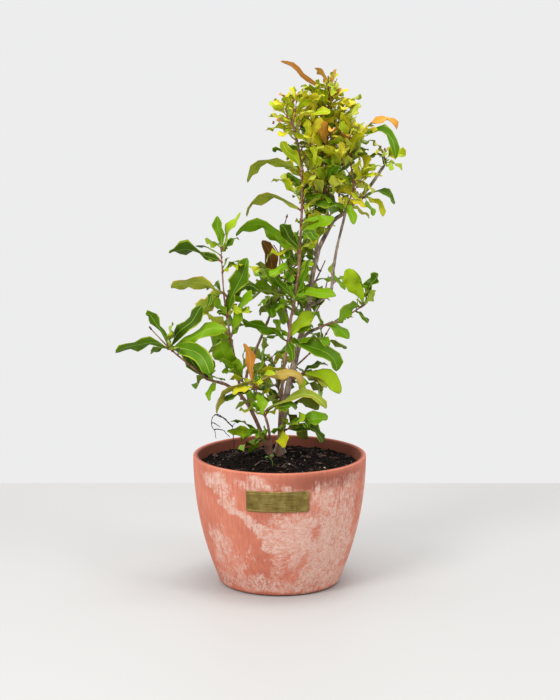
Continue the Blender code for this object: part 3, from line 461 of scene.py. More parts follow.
def makePlate():
    # two sheets with the same grid round the pot: the front one stands out by the thickness less
    # depth (1 - inset / rounding)^2 at its edge and less depth exp(-((inset - place of the line) / width)^2)
    half, tall = plate["width"] / 2, (plate["high"] - plate["low"]) / 2
    steps = np.array([0, 0.2, 0.45, 0.8, 1.3, 1.7, 1.9, 2.1, 2.5])
    across = np.concatenate([-half + steps, np.linspace(-half + 4, half - 4, 34), half - steps[::-1]])
    up = np.concatenate([-tall + steps, np.linspace(-tall + 4, tall - 4, 9), tall - steps[::-1]])
    w, v = np.meshgrid(across, up)
    inset = np.minimum(half - np.abs(w), tall - np.abs(v))
    relief = plate["thickness"] - plate["roundDepth"] * np.clip(1 - inset / plate["rounded"], 0, 1) ** 2
    relief -= plate["lineDepth"] * np.exp(-((inset - plate["line"]) / plate["lineWidth"]) ** 2)
    # corners: the square corner's reach is scaled so that it lies on an arc
    c = plate["corner"]
    dx, dy = np.abs(w) - (half - c), np.abs(v) - (tall - c)
    far = (dx > 0) & (dy > 0)
    scale = np.where(far, np.maximum(dx, dy) / np.maximum(np.hypot(dx, dy), 1e-6), 1)
    w = np.where(far, np.sign(w) * (half - c + dx * scale), w)
    v = np.where(far, np.sign(v) * (tall - c + dy * scale), v)
    rows, columns = w.shape
    sheets = []
    for stand in (relief, np.zeros_like(relief)):
        height = (plate["low"] + plate["high"]) / 2 + v
        radius = potRadius(height) + plate["gap"] + stand
        turn = (w + plate["offCentre"]) / radius - math.pi / 2
        sheets.append(np.stack([radius * np.cos(turn), radius * np.sin(turn), height], axis=-1).reshape(-1, 3))
    front = gridFaces(rows, columns)
    number = np.arange(rows * columns).reshape(rows, columns)
    rim = np.concatenate([number[0, :-1], number[:-1, -1], number[-1, :0:-1], number[:0:-1, 0]])
    ahead, back = np.roll(rim, -1), rows * columns
    sides = np.stack([rim + back, ahead + back, ahead, rim], axis=1)
    faces = front.tolist() + (front[:, ::-1] + back).tolist() + sides.tolist()
    makePiece("barePlate", np.vstack(sheets), faces, [plateMaterial()], "plate", stands=["label_plate"])


makePlate()
print("plate ready")


# Potting mix

soil = {
    "top": 129.4, "edge": 121.5, "flat": 26.0, "gap": 0.3, "rings": 76, "steps": 230, "relief": 2.3,
    "crumbs": 1900, "chips": 380, "flecks": 34, "fibres": 34,  # how many are strewn
    "crumbSize": (0.7, 2.6), "chipLength": (0.9, 5.6), "fleckSize": (0.35, 0.5),  # half sizes, least and added
    "chipShape": (0.22, 0.5), "fibreLength": (6, 18), "fibreRadius": (0.42, 0.2), "fibreStep": 1.2,
    "peat": ("#060403", "#120b07", "#2a1b11"), "bark": ("#1c0f08", "#452a1b", "#7a5538"), "fleck": "#a8977c",
    "bits": [  # larger light bits: right, away and half sizes
        (9.3, -35, 1.7, 1.2, 1), (-26, -44, 1.6, 1.1, 0.9), (45, -33, 1.4, 1.2, 0.9), (42, -42, 1.3, 1, 0.8),
        (36, -51, 1.3, 1, 0.8)],
}


def soilHeight(x, y):
    # a mound: flat near the stems, then falling as a cosine to the wall, plus lumps of peat
    radius = np.hypot(x, y)
    wall = float(potRadius(soil["edge"])) - pot["wall"]
    share = np.clip((radius - soil["flat"]) / (wall - soil["flat"]), 0, 1)
    fall = (soil["top"] - soil["edge"]) * (1 - np.cos(share * math.pi)) / 2
    spots = np.stack([x, y, np.zeros_like(x)], axis=-1)
    relief = soil["relief"] * (1 - 0.55 * (radius < 12))  # less of it round the stems
    return soil["top"] - fall + relief * (0.5 * lumps(spots, 11, 31) + 0.6 * lumps(spots, 4.2, 32)) - 0.8


def soilMaterials():
    # Peat, sifted and moist: nearly black crumbs with brown fibre.
    # Pine bark, chipped: red-brown with pale breaks. Perlite, expanded: dull pale grains
    made = []
    for name, colors, places, roughness, grain, relief in (
            ("peat, sifted and moist", soil["peat"], (0.38, 0.55, 0.74), 0.9, (520, 4, 0.7), 0.0006),
            ("pine bark, chipped", soil["bark"], (0.36, 0.55, 0.75), 0.82, (240, 3, 0.5), None)):
        material = newMaterial(name, colors[1], roughness)
        tree = material.node_tree
        noise = addNode(tree, "TexNoise", {"Vector": addNode(tree, "TexCoord", out="Object"),
                                           **dict(zip(("Scale", "Detail", "Roughness"), grain))})
        feed(tree, "Base Color", addNode(tree, "ValToRGB", {"Fac": noise}, stops=list(zip(places, colors))))
        if relief:
            setBump(tree, noise, relief, 0.8)
        made.append(material)
    shader = made[0].node_tree.nodes["Principled BSDF"]
    shader.inputs["Specular IOR Level"].default_value = 0.12  # rough crumbs hold no sheen
    return *made, newMaterial("perlite, expanded", soil["fleck"], 0.85)


def crumbs(places, sizes, seed):
    # stones of twenty faces: an icosahedron's corners times three half sizes, each corner times a random 0.75
    # to 1.2, tilted, then turned about the upright axis
    rng = np.random.default_rng(seed)
    g = (1 + 5 ** 0.5) / 2  # golden ratio
    corners = unit(np.array([(-1, g, 0), (1, g, 0), (-1, -g, 0), (1, -g, 0), (0, -1, g), (0, 1, g),
                             (0, -1, -g), (0, 1, -g), (g, 0, -1), (g, 0, 1), (-g, 0, -1), (-g, 0, 1)], float))
    cells = np.array([(0, 11, 5), (0, 5, 1), (0, 1, 7), (0, 7, 10), (0, 10, 11), (1, 5, 9), (5, 11, 4),
                      (11, 10, 2), (10, 7, 6), (7, 1, 8), (3, 9, 4), (3, 4, 2), (3, 2, 6), (3, 6, 8),
                      (3, 8, 9), (4, 9, 5), (2, 4, 11), (6, 2, 10), (8, 6, 7), (9, 8, 1)])
    count = len(places)
    shape = corners[None] * sizes[:, None] * rng.uniform(0.75, 1.2, (count, 12, 1))
    turn, tilt = rng.uniform(0, 6.28, count), rng.normal(0, 0.35, count)
    cosTurn, sinTurn, cosTilt, sinTilt = (f(a)[:, None] for a in (turn, tilt) for f in (np.cos, np.sin))
    x, y, z = shape[..., 0], shape[..., 1], shape[..., 2]
    y, z = y * cosTilt - z * sinTilt, y * sinTilt + z * cosTilt
    x, y = x * cosTurn - y * sinTurn, x * sinTurn + y * cosTurn
    points = np.stack([x, y, z], axis=-1) + places[:, None]
    faces = (cells[None] + 12 * np.arange(count)[:, None, None]).reshape(-1, 3)
    return points.reshape(-1, 3), faces.tolist()


def strewn(count, seed, sink):
    # places on the mix, evenly by area, each sunk by a share of its size
    rng = np.random.default_rng(seed)
    radius = (float(potRadius(soil["edge"])) - pot["wall"] - 2.2) * np.sqrt(rng.random(count))
    turn = rng.uniform(0, 6.28, count)
    x, y = radius * np.cos(turn), radius * np.sin(turn)
    return np.stack([x, y, soilHeight(x, y) - sink], axis=1), rng


def makeSoil():
    # a turned solid with the mound as its top, then crumbs, chips, flecks and fibres strewn on it
    inner = lambda z: float(potRadius(z)) - pot["wall"] - soil["gap"]
    radii = np.linspace(0, inner(soil["edge"]), soil["rings"])[1:]
    under = [(inner(z), float(z)) for z in (117, 100, 80, 60, 40, 22)]
    profile = [(0, 0), *[(radius, 0) for radius in radii], *under, (under[-1][0] - 6, 7.3), (0, 7.3)]
    points, faces = turned(profile[::-1], soil["steps"])
    top = points[:, 2] == 0
    points[top, 2] = soilHeight(points[top, 0], points[top, 1])
    peat, bark, perlite = soilMaterials()
    makePiece("pottingMix", points, faces, [peat], "soil", stands=["soil"])
    places, rng = strewn(soil["crumbs"], 41, 0.1)
    least, added = soil["crumbSize"]
    sizes = rng.uniform(0.5, 1.0, (len(places), 3)) * (least + added * rng.random((len(places), 1)) ** 3)
    makePiece("peatCrumbs", *crumbs(places, sizes, 42), [peat], "soil", smooth=False)
    places, rng = strewn(soil["chips"], 43, -0.2)
    least, added = soil["chipLength"]
    long = least + added * rng.random(len(places)) ** 2.6
    sizes = np.stack([long, long * rng.uniform(*soil["chipShape"], len(places)), 0.35 + 0.12 * long], axis=1)
    chips = crumbs(places, sizes, 44)
    places, rng = strewn(soil["flecks"], 45, -0.3)
    least, added = soil["fleckSize"]
    flecks = crumbs(places, least + added * rng.random((len(places), 3)), 46)
    spots, sizes = np.split(np.array(soil["bits"], float), [2], axis=1)
    bits = crumbs(np.column_stack([spots, soilHeight(*spots.T) + 0.5]), sizes, 47)
    points, faces, part = joined([chips, flecks, bits])
    makePiece("barkChips", points, faces, [bark, perlite], "soil", part > 0, smooth=False)
    # fibres and thin roots: short arcs that lie on the mix
    rng = np.random.default_rng(48)
    parts, step = [], soil["fibreStep"]
    for _ in range(soil["fibres"]):
        (x, y), heading, bend = rng.uniform(-48, 48, 2), rng.uniform(0, 6.28), rng.normal(0, 0.12)
        steps = np.arange(0, rng.uniform(*soil["fibreLength"]), step)
        headings = heading + bend * steps + 0.25 * np.sin(steps)
        xs, ys = x + np.cumsum(np.cos(headings)) * step, y + np.cumsum(np.sin(headings)) * step
        path = np.stack([xs, ys, soilHeight(xs, ys) + 0.55 + 0.4 * np.sin(steps * 0.7)], axis=1)
        parts.append(tube(path, np.linspace(*soil["fibreRadius"], len(path)), 5))
    makePiece("rootFibres", *joined(parts)[:2], [bark], "soil")


makeSoil()
print("potting mix ready")


# Trunk, stems and boughs: corner points from root to tip, radii at root and tip, how much wider the foot is
# or the limb that carries them

limbs = {
    "trunk": dict(points=[(0, 16, 130), (6, 14, 184), (17, 14, 231), (29, 15, 282), (33, 16, 312),
        (39, 18, 337)], radii=(3.9, 2.3), flare=3.2),
    "stem_front": dict(points=[(-1, 4, 130), (1, -2, 180), (4, -6, 219), (8, -8, 246)],
        radii=(2, 1.5), flare=0.9),
    "stem_left": dict(points=[(-11, 9, 130), (-24, 8, 165), (-37, 3, 189), (-52, -4, 203), (-64, -8, 208)],
        radii=(2.1, 1.5), flare=1.2),
    "shoot_front": dict(points=[(-8, -4, 130), (-11, -12, 160), (-14, -18, 173)],
        radii=(1.5, 1.2), flare=0.6),
    "bough_right": dict(points=[(37, 18, 334), (46, 20, 352), (54, 24, 366), (64, 28, 373), (77, 30, 385),
        (91, 28, 401), (104, 24, 421)], radii=(2.3, 1.5), carrier="trunk"),
    "bough_centre": dict(points=[(36, 17, 332), (38, 24, 350), (41, 28, 378)],
        radii=(1.7, 1.3), carrier="trunk"),
    "bough_side": dict(points=[(28, 15, 281), (41, 6, 288), (51, 2, 298), (53, 0, 315), (57, -2, 342),
        (65, -4, 377)], radii=(1.6, 1.2), carrier="trunk"),
    "bough_low_right": dict(points=[(18, 14, 240), (28, 8, 254), (41, 0, 262)],
        radii=(1.7, 1.4), carrier="trunk"),
    "bough_back": dict(points=[(16, 14, 226), (10, 36, 254), (2, 56, 290)],
        radii=(1.7, 1.3), carrier="trunk"),
    "bough_left_up": dict(points=[(-38, 2, 188), (-43, -10, 221), (-48, -20, 251)],
        radii=(1.5, 1.2), carrier="stem_left"),
    "bough_middle": dict(points=[(-29, 6, 176), (-34, 13, 204), (-28, 16, 226), (-18, 18, 250), (-9, 20, 272)],
        radii=(1.6, 1.2), carrier="stem_left"),
}
woody = {
    "ringStep": 1.5, "sides": 14, "nodeRise": 0.30, "nodeGap": 23.0,
    "relief": 0.085, "youngRelief": 0.5, "thickRelief": 1.25,  # and its share on young and on thick ones
    "thickFrom": 3,
    "flareLength": 5.0, "collar": 0.5, "collarLength": 2.5, "sunk": 5,  # foot in the mix, collar at a fork
    # with young red-brown bark
    "smooth": ("stem_front", "stem_left", "shoot_front", "bough_left_up", "bough_middle"),
    "bark": ("#4b3d33", "#7d6b5c", "#a5927f", "#c2b19f"), "youngBark": ("#5c3c2d", "#87604c", "#ab8772"),
    "node": "#74402c",
}


def woodMaterial(name, colors, roughness, ridge):
    # dull ridges run up the stem, ridge is their spacing in metres, over paler and darker blotches 7 mm across
    material = newMaterial(name, colors[1], roughness)
    tree = material.node_tree
    place = addNode(tree, "TexCoord", out="Object")
    ridges = addNode(tree, "TexNoise", {
        "Vector": addNode(tree, "Mapping", {"Vector": place, "Scale": (1 / ridge, 1 / ridge, 0.09 / ridge)}),
        "Scale": 1.0, "Detail": 4.0, "Roughness": 0.62, "Distortion": 0.5})
    mottle = addNode(tree, "TexNoise", {"Vector": place, "Scale": 150.0, "Detail": 3.0})
    stops = list(zip(np.linspace(0.36, 0.66, len(colors)).tolist(), colors))
    both = addNode(tree, "Mix", {0: 0.5, 2: ridges, 3: mottle})
    feed(tree, "Base Color", addNode(tree, "ValToRGB", {"Fac": both}, stops=stops))
    setBump(tree, ridges, 0.00035, 0.8)
    return material


def woodRadii(path, radii, seed, depth):
    # radius + depth (sum of sines of the turn, their phases drifting along the stem) + rises at the nodes,
    # each node a ring and two scars on opposite sides, every second pair a quarter turn round
    rng = np.random.default_rng(seed)
    s = along(path)[:, None]
    a = np.linspace(0, 2 * math.pi, woody["sides"], endpoint=False)[None]
    relief = np.zeros((len(path), woody["sides"]))
    for lobes in (2, 3, 4, 5, 6):
        drift = 1.5 * np.sin(s / rng.uniform(6, 24) + rng.uniform(0, 6.28))
        relief += rng.uniform(0.4, 1.0) * np.sin(lobes * a + rng.uniform(0, 6.28) + drift)
    relief += 0.8 * np.sin(s / 1.9 + 2 * np.sin(a + s / 7)) * np.sin(s / 5.3 + a)
    result = radii[:, None] + depth * relief
    place, turn = rng.uniform(4, 14), rng.uniform(0, 3)
    while place < s[-1, 0] - 2:
        ring = np.exp(-((s - place) / 1.2) ** 2)
        result += woody["nodeRise"] * ring * (0.45 + 0.75 * np.cos(a - turn) ** 4)
        place += woody["nodeGap"] * rng.uniform(0.75, 1.25)
        turn += math.pi / 2
    return result


def makeLimbs():
    # radius: evenly from root to tip, plus flare exp(-length / its length) at the foot, or the same for a
    # collar at a fork
    made, parts = {}, {True: [], False: []}
    for number, (name, limb) in enumerate(limbs.items()):
        path = evenly(smoothPath(limb["points"], 8), woody["ringStep"])
        lengths = along(path)
        root, tip = limb["radii"]
        flare = limb.get("flare", 0) * np.exp(-lengths / woody["flareLength"])
        radii = root + (tip - root) * lengths / lengths[-1] + flare
        if "carrier" not in limb:  # the root goes into the mix
            path = np.vstack([path[0] - [0, 0, woody["sunk"]], path])
            radii = np.concatenate([[radii[0] * 1.1], radii])
        else:
            radii = radii + woody["collar"] * np.exp(-lengths / woody["collarLength"])
        young, thick = name in woody["smooth"], root > woody["thickFrom"]
        depth = woody["relief"] * (woody["youngRelief"] if young else woody["thickRelief"] if thick else 1)
        parts[young].append(tube(path, woodRadii(path, radii, 300 + number, depth), woody["sides"]))
        made[name] = (path, radii)
    old = woodMaterial("pomegranate bark, grown, grey-brown and fissured", woody["bark"], 0.8, 0.0011)
    new = woodMaterial("young pomegranate bark, grown, smooth and pinkish", woody["youngBark"], 0.62, 0.0014)
    makePiece("trunkAndBoughs", *joined(parts[False])[:2], [old], "bark",
              stands=[name for name in limbs if name not in woody["smooth"]])
    makePiece("youngStems", *joined(parts[True])[:2], [new], "young_bark", stands=list(woody["smooth"]))
    return made, new


limbPaths, youngBark = makeLimbs()
print("trunk and boughs ready,", len(limbPaths), "limbs")


# Crown: masses of twigs with leaves. Each mass: the limb whose tip it grows on, or else its root,
# its twig's radius and corner points, spacing of leaf pairs, shortest and longest leaf, leaves at its tip,
# chance of side shoots, seed and how far it may reach. Its shown leaves are the outline in the photograph:
# height of the root on the twig, reach to the right, away and up, rise of the arch, hook of the tip,
# width, turn of the blade in degrees, and a colour where it stands out. Its sprigs are leafy side shoots:
# height of the root, reach to the right, away and up, length of a leaf and count of leaf pairs

masses = {
    "leaves_front": dict(
        limb="stem_front", radius=1.55, tipRadius=1.15, pitch=30, leaf=(24, 44), tips=8, shoots=0.3, seed=11,
        reach=66,
        points=[(11, -9, 271), (15, -10, 291), (19, -10, 321), (20, -10, 341), (22, -8, 381), (22, -8, 413),
            (19, -8, 439), (15, -10, 458), (12, -11, 468)],
        shown=[(249, -46, -12, 22, 3, 0, 13, 52), (248, 50, -10, -28, 12, 1, 17, 55),
            (251, 25, 8, 27, 2, 0, 14, 50), (251, -17, 10, 16, 2, 0, 12, 60),
            (249, 4, -20, -16, 4, 0.4, 10, 45), (293, -30, -10, 30, 1, 0, 11, 55),
            (292, -56, -6, -8, 12, 0.7, 11, 25), (294, 17, -9, 38, 2, 0, 11, 60),
            (295, 40, -12, 3, 4, 0, 12, 50), (343, -57, -14, 12, 14, 0.9, 14, 46),
            (340, -19, -15, 28, 2, 0, 13, 60), (338, -37, 12, 20, 2, 0.2, 15, 60),
            (345, 31, -17, 32, 4, 0, 14, 60), (379, -53, -10, -4, 18, 1.25, 12, 42, "olive"),
            (385, -28, -6, 22, 9, 0.7, 10, 30), (382, 43, -8, 1, 7, 0.3, 11, 32),
            (390, 15, -9, 23, 2, 0, 10, 30), (414, -52, -6, -6, 18, 1.2, 11, 42, "olive"),
            (410, -16, 8, 18, 2, 0, 11, 55), (403, -15, 5, 13, 2, 0, 9, 50),
            (419, -20, -12, 30, 2, 0, 11, 40)],
        sprigs=[(460, -9, -6, 20, 23, 3), (464, 3, -4, 24, 24, 3), (462, -5, 8, 20, 23, 3),
            (461, 13, -6, 22, 28, 3), (402, 14, -6, 22, 28, 3), (438, 16, 4, 24, 30, 3)]),
    "leaves_top": dict(
        limb="bough_centre", radius=1.3, pitch=14, leaf=(25, 39), tips=6, shoots=0.45, seed=23, reach=58,
        points=[(44, 22, 399), (46, 18, 420), (48, 12, 458), (48, 8, 488), (48, 4, 508)],
        shown=[(488, -46, -6, 33, 7, 0.3, 8, 30, "amber"), (499, -12, -3, 22, 2, 0, 8, 30, "amber"),
            (498, 9, 2, 19, 1, 0, 5, 25, "amber"), (490, 10, -8, 13, 2, 0, 10, 60),
            (470, -14, -8, 28, 1, 0, 9, 55), (480, 27, -5, 6, 3, 0.3, 9, 30), (486, 20, 8, 12, 2, 0, 8, 30),
            (484, 13, -8, 15, 2, 0, 9, 55, "amber")],
        sprigs=[(430, -20, 2, 26, 30, 3), (448, 12, -8, 22, 30, 3), (440, -16, -12, 26, 30, 3),
            (460, 3, 4, 14, 20, 2), (470, -14, -8, 22, 26, 2), (425, 10, -12, 26, 32, 3)]),
    "leaves_top_right": dict(
        root=(62, 27.5, 372), radius=1.1, pitch=15, leaf=(24, 37), tips=5, shoots=0.45,
        seed=29, reach=50,
        points=[(60, 24, 388), (58, 18, 420), (60, 12, 452), (63, 8, 478)],
        shown=[(470, 18, -8, 12, 2, 0, 10, 50), (462, 24, -6, -4, 4, 0.3, 9, 30)],
        sprigs=[(440, -14, -8, 22, 30, 3), (452, -2, -8, 18, 22, 3), (425, 12, -8, 16, 26, 3),
            (410, -8, -12, 22, 30, 3)]),
    "leaves_centre": dict(
        root=(50, 21, 358), radius=1.2, pitch=14, leaf=(25, 40), tips=6, shoots=0.4,
        seed=31, reach=52,
        points=[(49, 13, 370), (46, 6, 388), (43, -2, 412), (42, -6, 440)],
        shown=[(412, 25, -8, -8, 8, 0.7, 9, 25), (420, 24, -10, 10, 5, 0.3, 11, 50),
            (436, 27, -4, 2, 4, 0.3, 10, 35), (404, -6, -20, 20, 2, 0, 12, 55),
            (440, -12, -6, 24, 2, 0, 9, 50)],
        sprigs=[(398, 12, -10, 20, 32, 3), (425, -12, -10, 22, 32, 3), (437, 10, -8, 20, 32, 3),
            (385, -14, -8, 18, 30, 3)]),
    "leaves_right": dict(
        limb="bough_side", radius=1.1, pitch=20, leaf=(22, 36), tips=4, shoots=0.3, seed=47, reach=50,
        points=[(73, -6, 402), (70, -8, 429), (72, -12, 443), (80, -16, 458)],
        shown=[(408, 22, -6, 16, 3, 0.2, 10, 55), (456, 37, -4, 5, 12, 0.6, 8, 30, "amber"),
            (449, 38, -14, -16, 20, 1.1, 10, 30), (425, 12, -18, 22, 2, 0, 12, 60),
            (386, 6, -10, -19, 5, 0.5, 8, 30), (388, 16, -6, -5, 4, 0.3, 8, 30)],
        sprigs=[(398, 10, -10, 18, 28, 3), (412, -12, -10, 20, 28, 3), (428, -6, -12, 20, 27, 3),
            (440, -4, 6, 18, 26, 3)]),
    "leaves_right_tip": dict(
        limb="bough_right", radius=0.9, pitch=12, leaf=(14, 24), tips=3, shoots=0, seed=53, reach=40,
        points=[(105, 22, 429), (103, 20, 437)],
        shown=[(428, 19, -6, 3, 4, 0.4, 12, 60), (425, 16, -4, -8, 3, 0.3, 8, 10),
            (434, -12, 8, 14, 2, 0, 9, 40)]),
    "leaves_right_under": dict(
        root=(78, 30, 386), radius=0.9, pitch=14, leaf=(18, 30), tips=3, shoots=0,
        seed=59, reach=46,
        points=[(82, 20, 389), (86, 8, 393)],
        shown=[(391, 31, -3, -7, 9, 0.8, 9, 22), (389, 22, -9, -17, 8, 0.9, 8, 18)]),
    "leaves_middle": dict(
        limb="bough_middle", radius=1.1, pitch=22, leaf=(26, 42), tips=4, shoots=0.3, seed=61, reach=58,
        points=[(-1, 21, 290), (6, 20, 308), (10, 19, 321)],
        shown=[(299, -21, -13, 50, 2, 0, 13, 70, "brown"), (320, -2, -6, 26, 1, 0, 9, 45),
            (291, 4, -12, -28, 3, 0.3, 15, 60), (290, -30, -8, 2, 8, 0.8, 14, 60),
            (289, -18, -7, -18, 4, 0.3, 13, 60)]),
    "leaves_trunk_right": dict(
        root=(31, 15.5, 297), radius=1, pitch=19, leaf=(26, 40), tips=4, shoots=0.2, seed=67,
        reach=54,
        points=[(38, 21, 309), (46, 24, 326)],
        shown=[(305, 30, -16, -6, 7, 0.6, 9, 20)]),
    "leaves_low_right": dict(
        limb="bough_low_right", radius=1.3, pitch=26, leaf=(20, 32), tips=0, shoots=0.15, seed=71, reach=60,
        points=[(50, -8, 267), (60, -14, 271), (75, -20, 282), (82, -22, 287), (91, -26, 296)],
        shown=[(288, -18, -8, 37, 3, 0, 17, 65), (289, 13, -2, 28, 5, 0.4, 12, 52),
            (287, 14, -18, 16, 2, 0, 11, 55), (286, -22, -14, -13, 7, 0.5, 15, 65),
            (264, 25, -8, -12, 5, 0.4, 13, 48)]),
    "leaves_far_left": dict(
        limb="stem_left", radius=1.4, pitch=32, leaf=(24, 38), tips=0, shoots=0.1, seed=73, reach=62,
        points=[(-84, -18, 222), (-108, -30, 245), (-126, -38, 266)],
        shown=[(246, 34, -10, 44, 2, 0, 15, 68), (247, -21, -4, 32, 9, 0.5, 10, 50),
            (247, 3, -14, 26, 2, 0, 14, 65), (243, -53, -2, -5, 10, 0.4, 14, 52),
            (245, 55, -14, 24, 5, 0.1, 14, 62), (247, 42, -24, -23, 11, 0.8, 17, 62),
            (211, -28, -13, 36, 2, 0, 14, 70), (213, -8, -14, -9, 3, 0.3, 14, 55)]),
    "leaves_left_up": dict(
        limb="bough_left_up", radius=1.2, pitch=32, leaf=(26, 42), tips=3, shoots=0.2, seed=79, reach=64,
        points=[(-52, -24, 276), (-55, -26, 300), (-57, -26, 335), (-57, -26, 345)],
        shown=[(344, -4, -4, 33, 1, 0, 9, 50), (343, 20, -6, 37, 3, 0, 10, 50),
            (336, -25, 4, 9, 4, 0.3, 8, 8), (331, -52, -4, 10, 6, 0.2, 15, 50),
            (301, -25, 7, -23, 4, 0.8, 15, 60, "olive"), (300, -50, 6, 2, 8, 0.6, 15, 58, "olive"),
            (276, 21, -8, 60, 3, 0, 19, 60), (255, 23, -12, 49, 3, 0, 14, 60),
            (277, -12, -8, 18, 2, 0, 9, 30)]),
    "leaves_left_middle": dict(
        root=(-41, -6.5, 209), radius=1, pitch=17, leaf=(24, 40), tips=3, shoots=0,
        seed=83, reach=62,
        points=[(-38, -14, 210), (-37, -24, 216)],
        shown=[(211, -30, -6, 50, 2, 0, 22, 72), (212, 2, -8, 36, 2, 0, 14, 65)]),
    "leaves_shoot": dict(
        limb="shoot_front", radius=1.1, pitch=20, leaf=(22, 36), tips=3, shoots=0, seed=89, reach=70,
        points=[(-18, -22, 187), (-22, -26, 199), (-25, -30, 207), (-28, -33, 213)],
        shown=[(207, -9, -4, 45, 2, 0, 9, 48, "amber"), (208, 12, -2, 38, 1, 0, 7, 18),
            (205, 46, -10, 4, 16, 1.1, 11, 42, "tan"), (204, -36, -8, -23, 19, 1.7, 15, 45, "olive"),
            (200, 6, -14, -19, 4, 0.3, 10, 45), (179, 62, -8, 5, 14, 1, 9, 40, "olive"),
            (178, -13, -8, 13, 1, 0, 8, 35)]),
    "leaves_foot_left": dict(
        root=(-9.5, -7, 147), radius=0.9, pitch=14, leaf=(22, 34), tips=2, shoots=0,
        seed=97, reach=56,
        points=[(-15, -10, 151), (-21, -12, 156)],
        shown=[(154, -32, -8, 3, 5, 0.3, 13, 60), (156, -28, 6, 10, 4, 0.3, 10, 25),
            (151, -8, -22, 4, 5, 0.3, 11, 40)]),
    "leaves_foot_right": dict(
        root=(0, 0.5, 153), radius=1, pitch=14, leaf=(24, 38), tips=2, shoots=0, seed=101,
        reach=58,
        points=[(7, -5, 158), (14, -9, 163)],
        shown=[(158, 41, -12, 15, 5, 0.4, 13, 48), (158, 41, 2, -12, 7, 0.5, 13, 50),
            (154, 3, -26, -10, 5, 0.4, 13, 50, "yellow"), (156, -13, -16, 2, 3, 0.3, 13, 50),
            (162, 12, -14, 12, 2, 0.2, 11, 50)]),
    "leaves_right_low": dict(
        root=(10, 14, 203), radius=1.1, pitch=17, leaf=(26, 42), tips=3, shoots=0.2, seed=103,
        reach=62,
        points=[(17, 6, 209), (25, -2, 217)],
        shown=[(215, 37, -8, -20, 9, 1, 14, 55), (214, 26, 8, 6, 5, 0.3, 9, 15),
            (209, 30, -12, -8, 9, 0.5, 9, 50, "olive")]),
    "leaves_back_low": dict(
        root=(3, 15, 172), radius=1.2, pitch=26, leaf=(28, 44), tips=4, shoots=0.3, seed=107,
        reach=62,
        points=[(1, 28, 184), (-4, 44, 202), (-8, 56, 222)]),
    "leaves_back_middle": dict(
        limb="bough_back", radius=1.2, pitch=26, leaf=(26, 44), tips=5, shoots=0.35, seed=109, reach=60,
        points=[(0, 64, 316), (2, 68, 344), (8, 66, 368)]),
    "leaves_back_right": dict(
        root=(22, 14, 252), radius=1.2, pitch=26, leaf=(26, 42), tips=4, shoots=0.3, seed=113,
        reach=58,
        points=[(32, 28, 264), (44, 44, 284), (50, 54, 306)]),
    "leaves_back_high": dict(
        root=(37.5, 22, 346), radius=1.2, pitch=26, leaf=(24, 38), tips=5, shoots=0.35,
        seed=127, reach=54,
        points=[(32, 34, 358), (27, 46, 382), (28, 50, 410), (32, 48, 432)]),
    "leaves_right_back": dict(
        root=(13.5, 14, 217), radius=1.1, pitch=26, leaf=(26, 42), tips=4, shoots=0.2,
        seed=131, reach=58,
        points=[(26, 26, 226), (42, 38, 240), (54, 46, 258)]),
}
growth = {
    "passes": [  # the rule's spacing, leaf size, added chance of shoots, reach and seed: at first, then finer
        {"pitch": 1.0, "leaf": 1.1, "shoots": 0.0, "reach": 1.0, "seed": 0},
        {"pitch": 0.75, "leaf": 1.15, "shoots": 0.12, "reach": 0.92, "seed": 500}],
    "clearance": {"shown": 0.15, "sprig": 0.1, "ruled": 0.05},  # round a leaf when it is tested
    "slim": 0.65,  # the tested share of the width of leaves that aren't shown: their margins may touch
    "pastTwig": 12,  # how much further shown leaves and sprigs may reach
    # shares of a leaf's length, least and what chance adds
    "droop": (0.05, 0.40), "width": (0.24, 0.08), "arch": (0.05, 0.17),
    "hook": 0.9, "turn": 1.9, "shootLength": (10, 24),
    "shootRadius": (0.62, 0.38), "twigTip": 0.55, "twigSides": 7, "shootSides": 5,
    # rough leaves for the tests: width of the root, thickness, arch from which three stations are needed,
    # and the share of the midrib from which a leaf has to be clear of its own mass
    "leafRoot": 0.8, "thinnest": 0.6, "arched": 3.5, "freeFrom": 0.16,
    # twigs that the photograph shows bare in front, and the leaves kept off them: towards the viewer, this far
    # and this near to straight
    "seenStems": ("leaves_front", "leaves_left_up"), "towards": -8, "sideways": 13,
    # colour by height: amber and yellow, least chance and what is added where it is warm
    "warmFrom": 295, "warmOver": 165, "amber": (0.01, 0.03), "yellow": (0.12, 0.80), "greenBelow": 350,
}
# where the photograph shows the backdrop or the mix through the crown: right, height, half width and
# half height in the plane through the pot's axis
skyThrough = [
    (3, 378, 17, 15), (-4, 400, 9, 5), (-102, 216, 12, 15), (-92, 229, 10, 9), (-80, 200, 8, 8),
    (64, 293, 11, 12), (51, 274, 8, 8), (48, 335, 8, 9), (45, 313, 7, 7), (95, 447, 10, 9), (68, 262, 8, 8),
    (47, 252, 6, 5), (96, 300, 7, 8), (28, 218, 9, 6), (38, 520, 11, 7), (-1, 325, 5, 7), (88, 330, 20, 20),
    (100, 395, 14, 12), (30, 190, 6, 6), (80, 358, 12, 12), (98, 279, 10, 9), (112, 300, 14, 16),
    (-76, 319, 15, 6), (-2, 352, 6, 8), (48, 222, 9, 5), (-142, 258, 15, 12), (-90, 196, 14, 10),
    (-130, 208, 14, 8), (82, 474, 8, 13), (31, 232, 9, 6), (-31, 251, 9, 5), (13, 172, 6, 6), (-4, 243, 7, 6),
    (16, 139, 9, 8), (66, 511, 9, 14), (52, 531, 12, 7), (112, 450, 8, 8)]
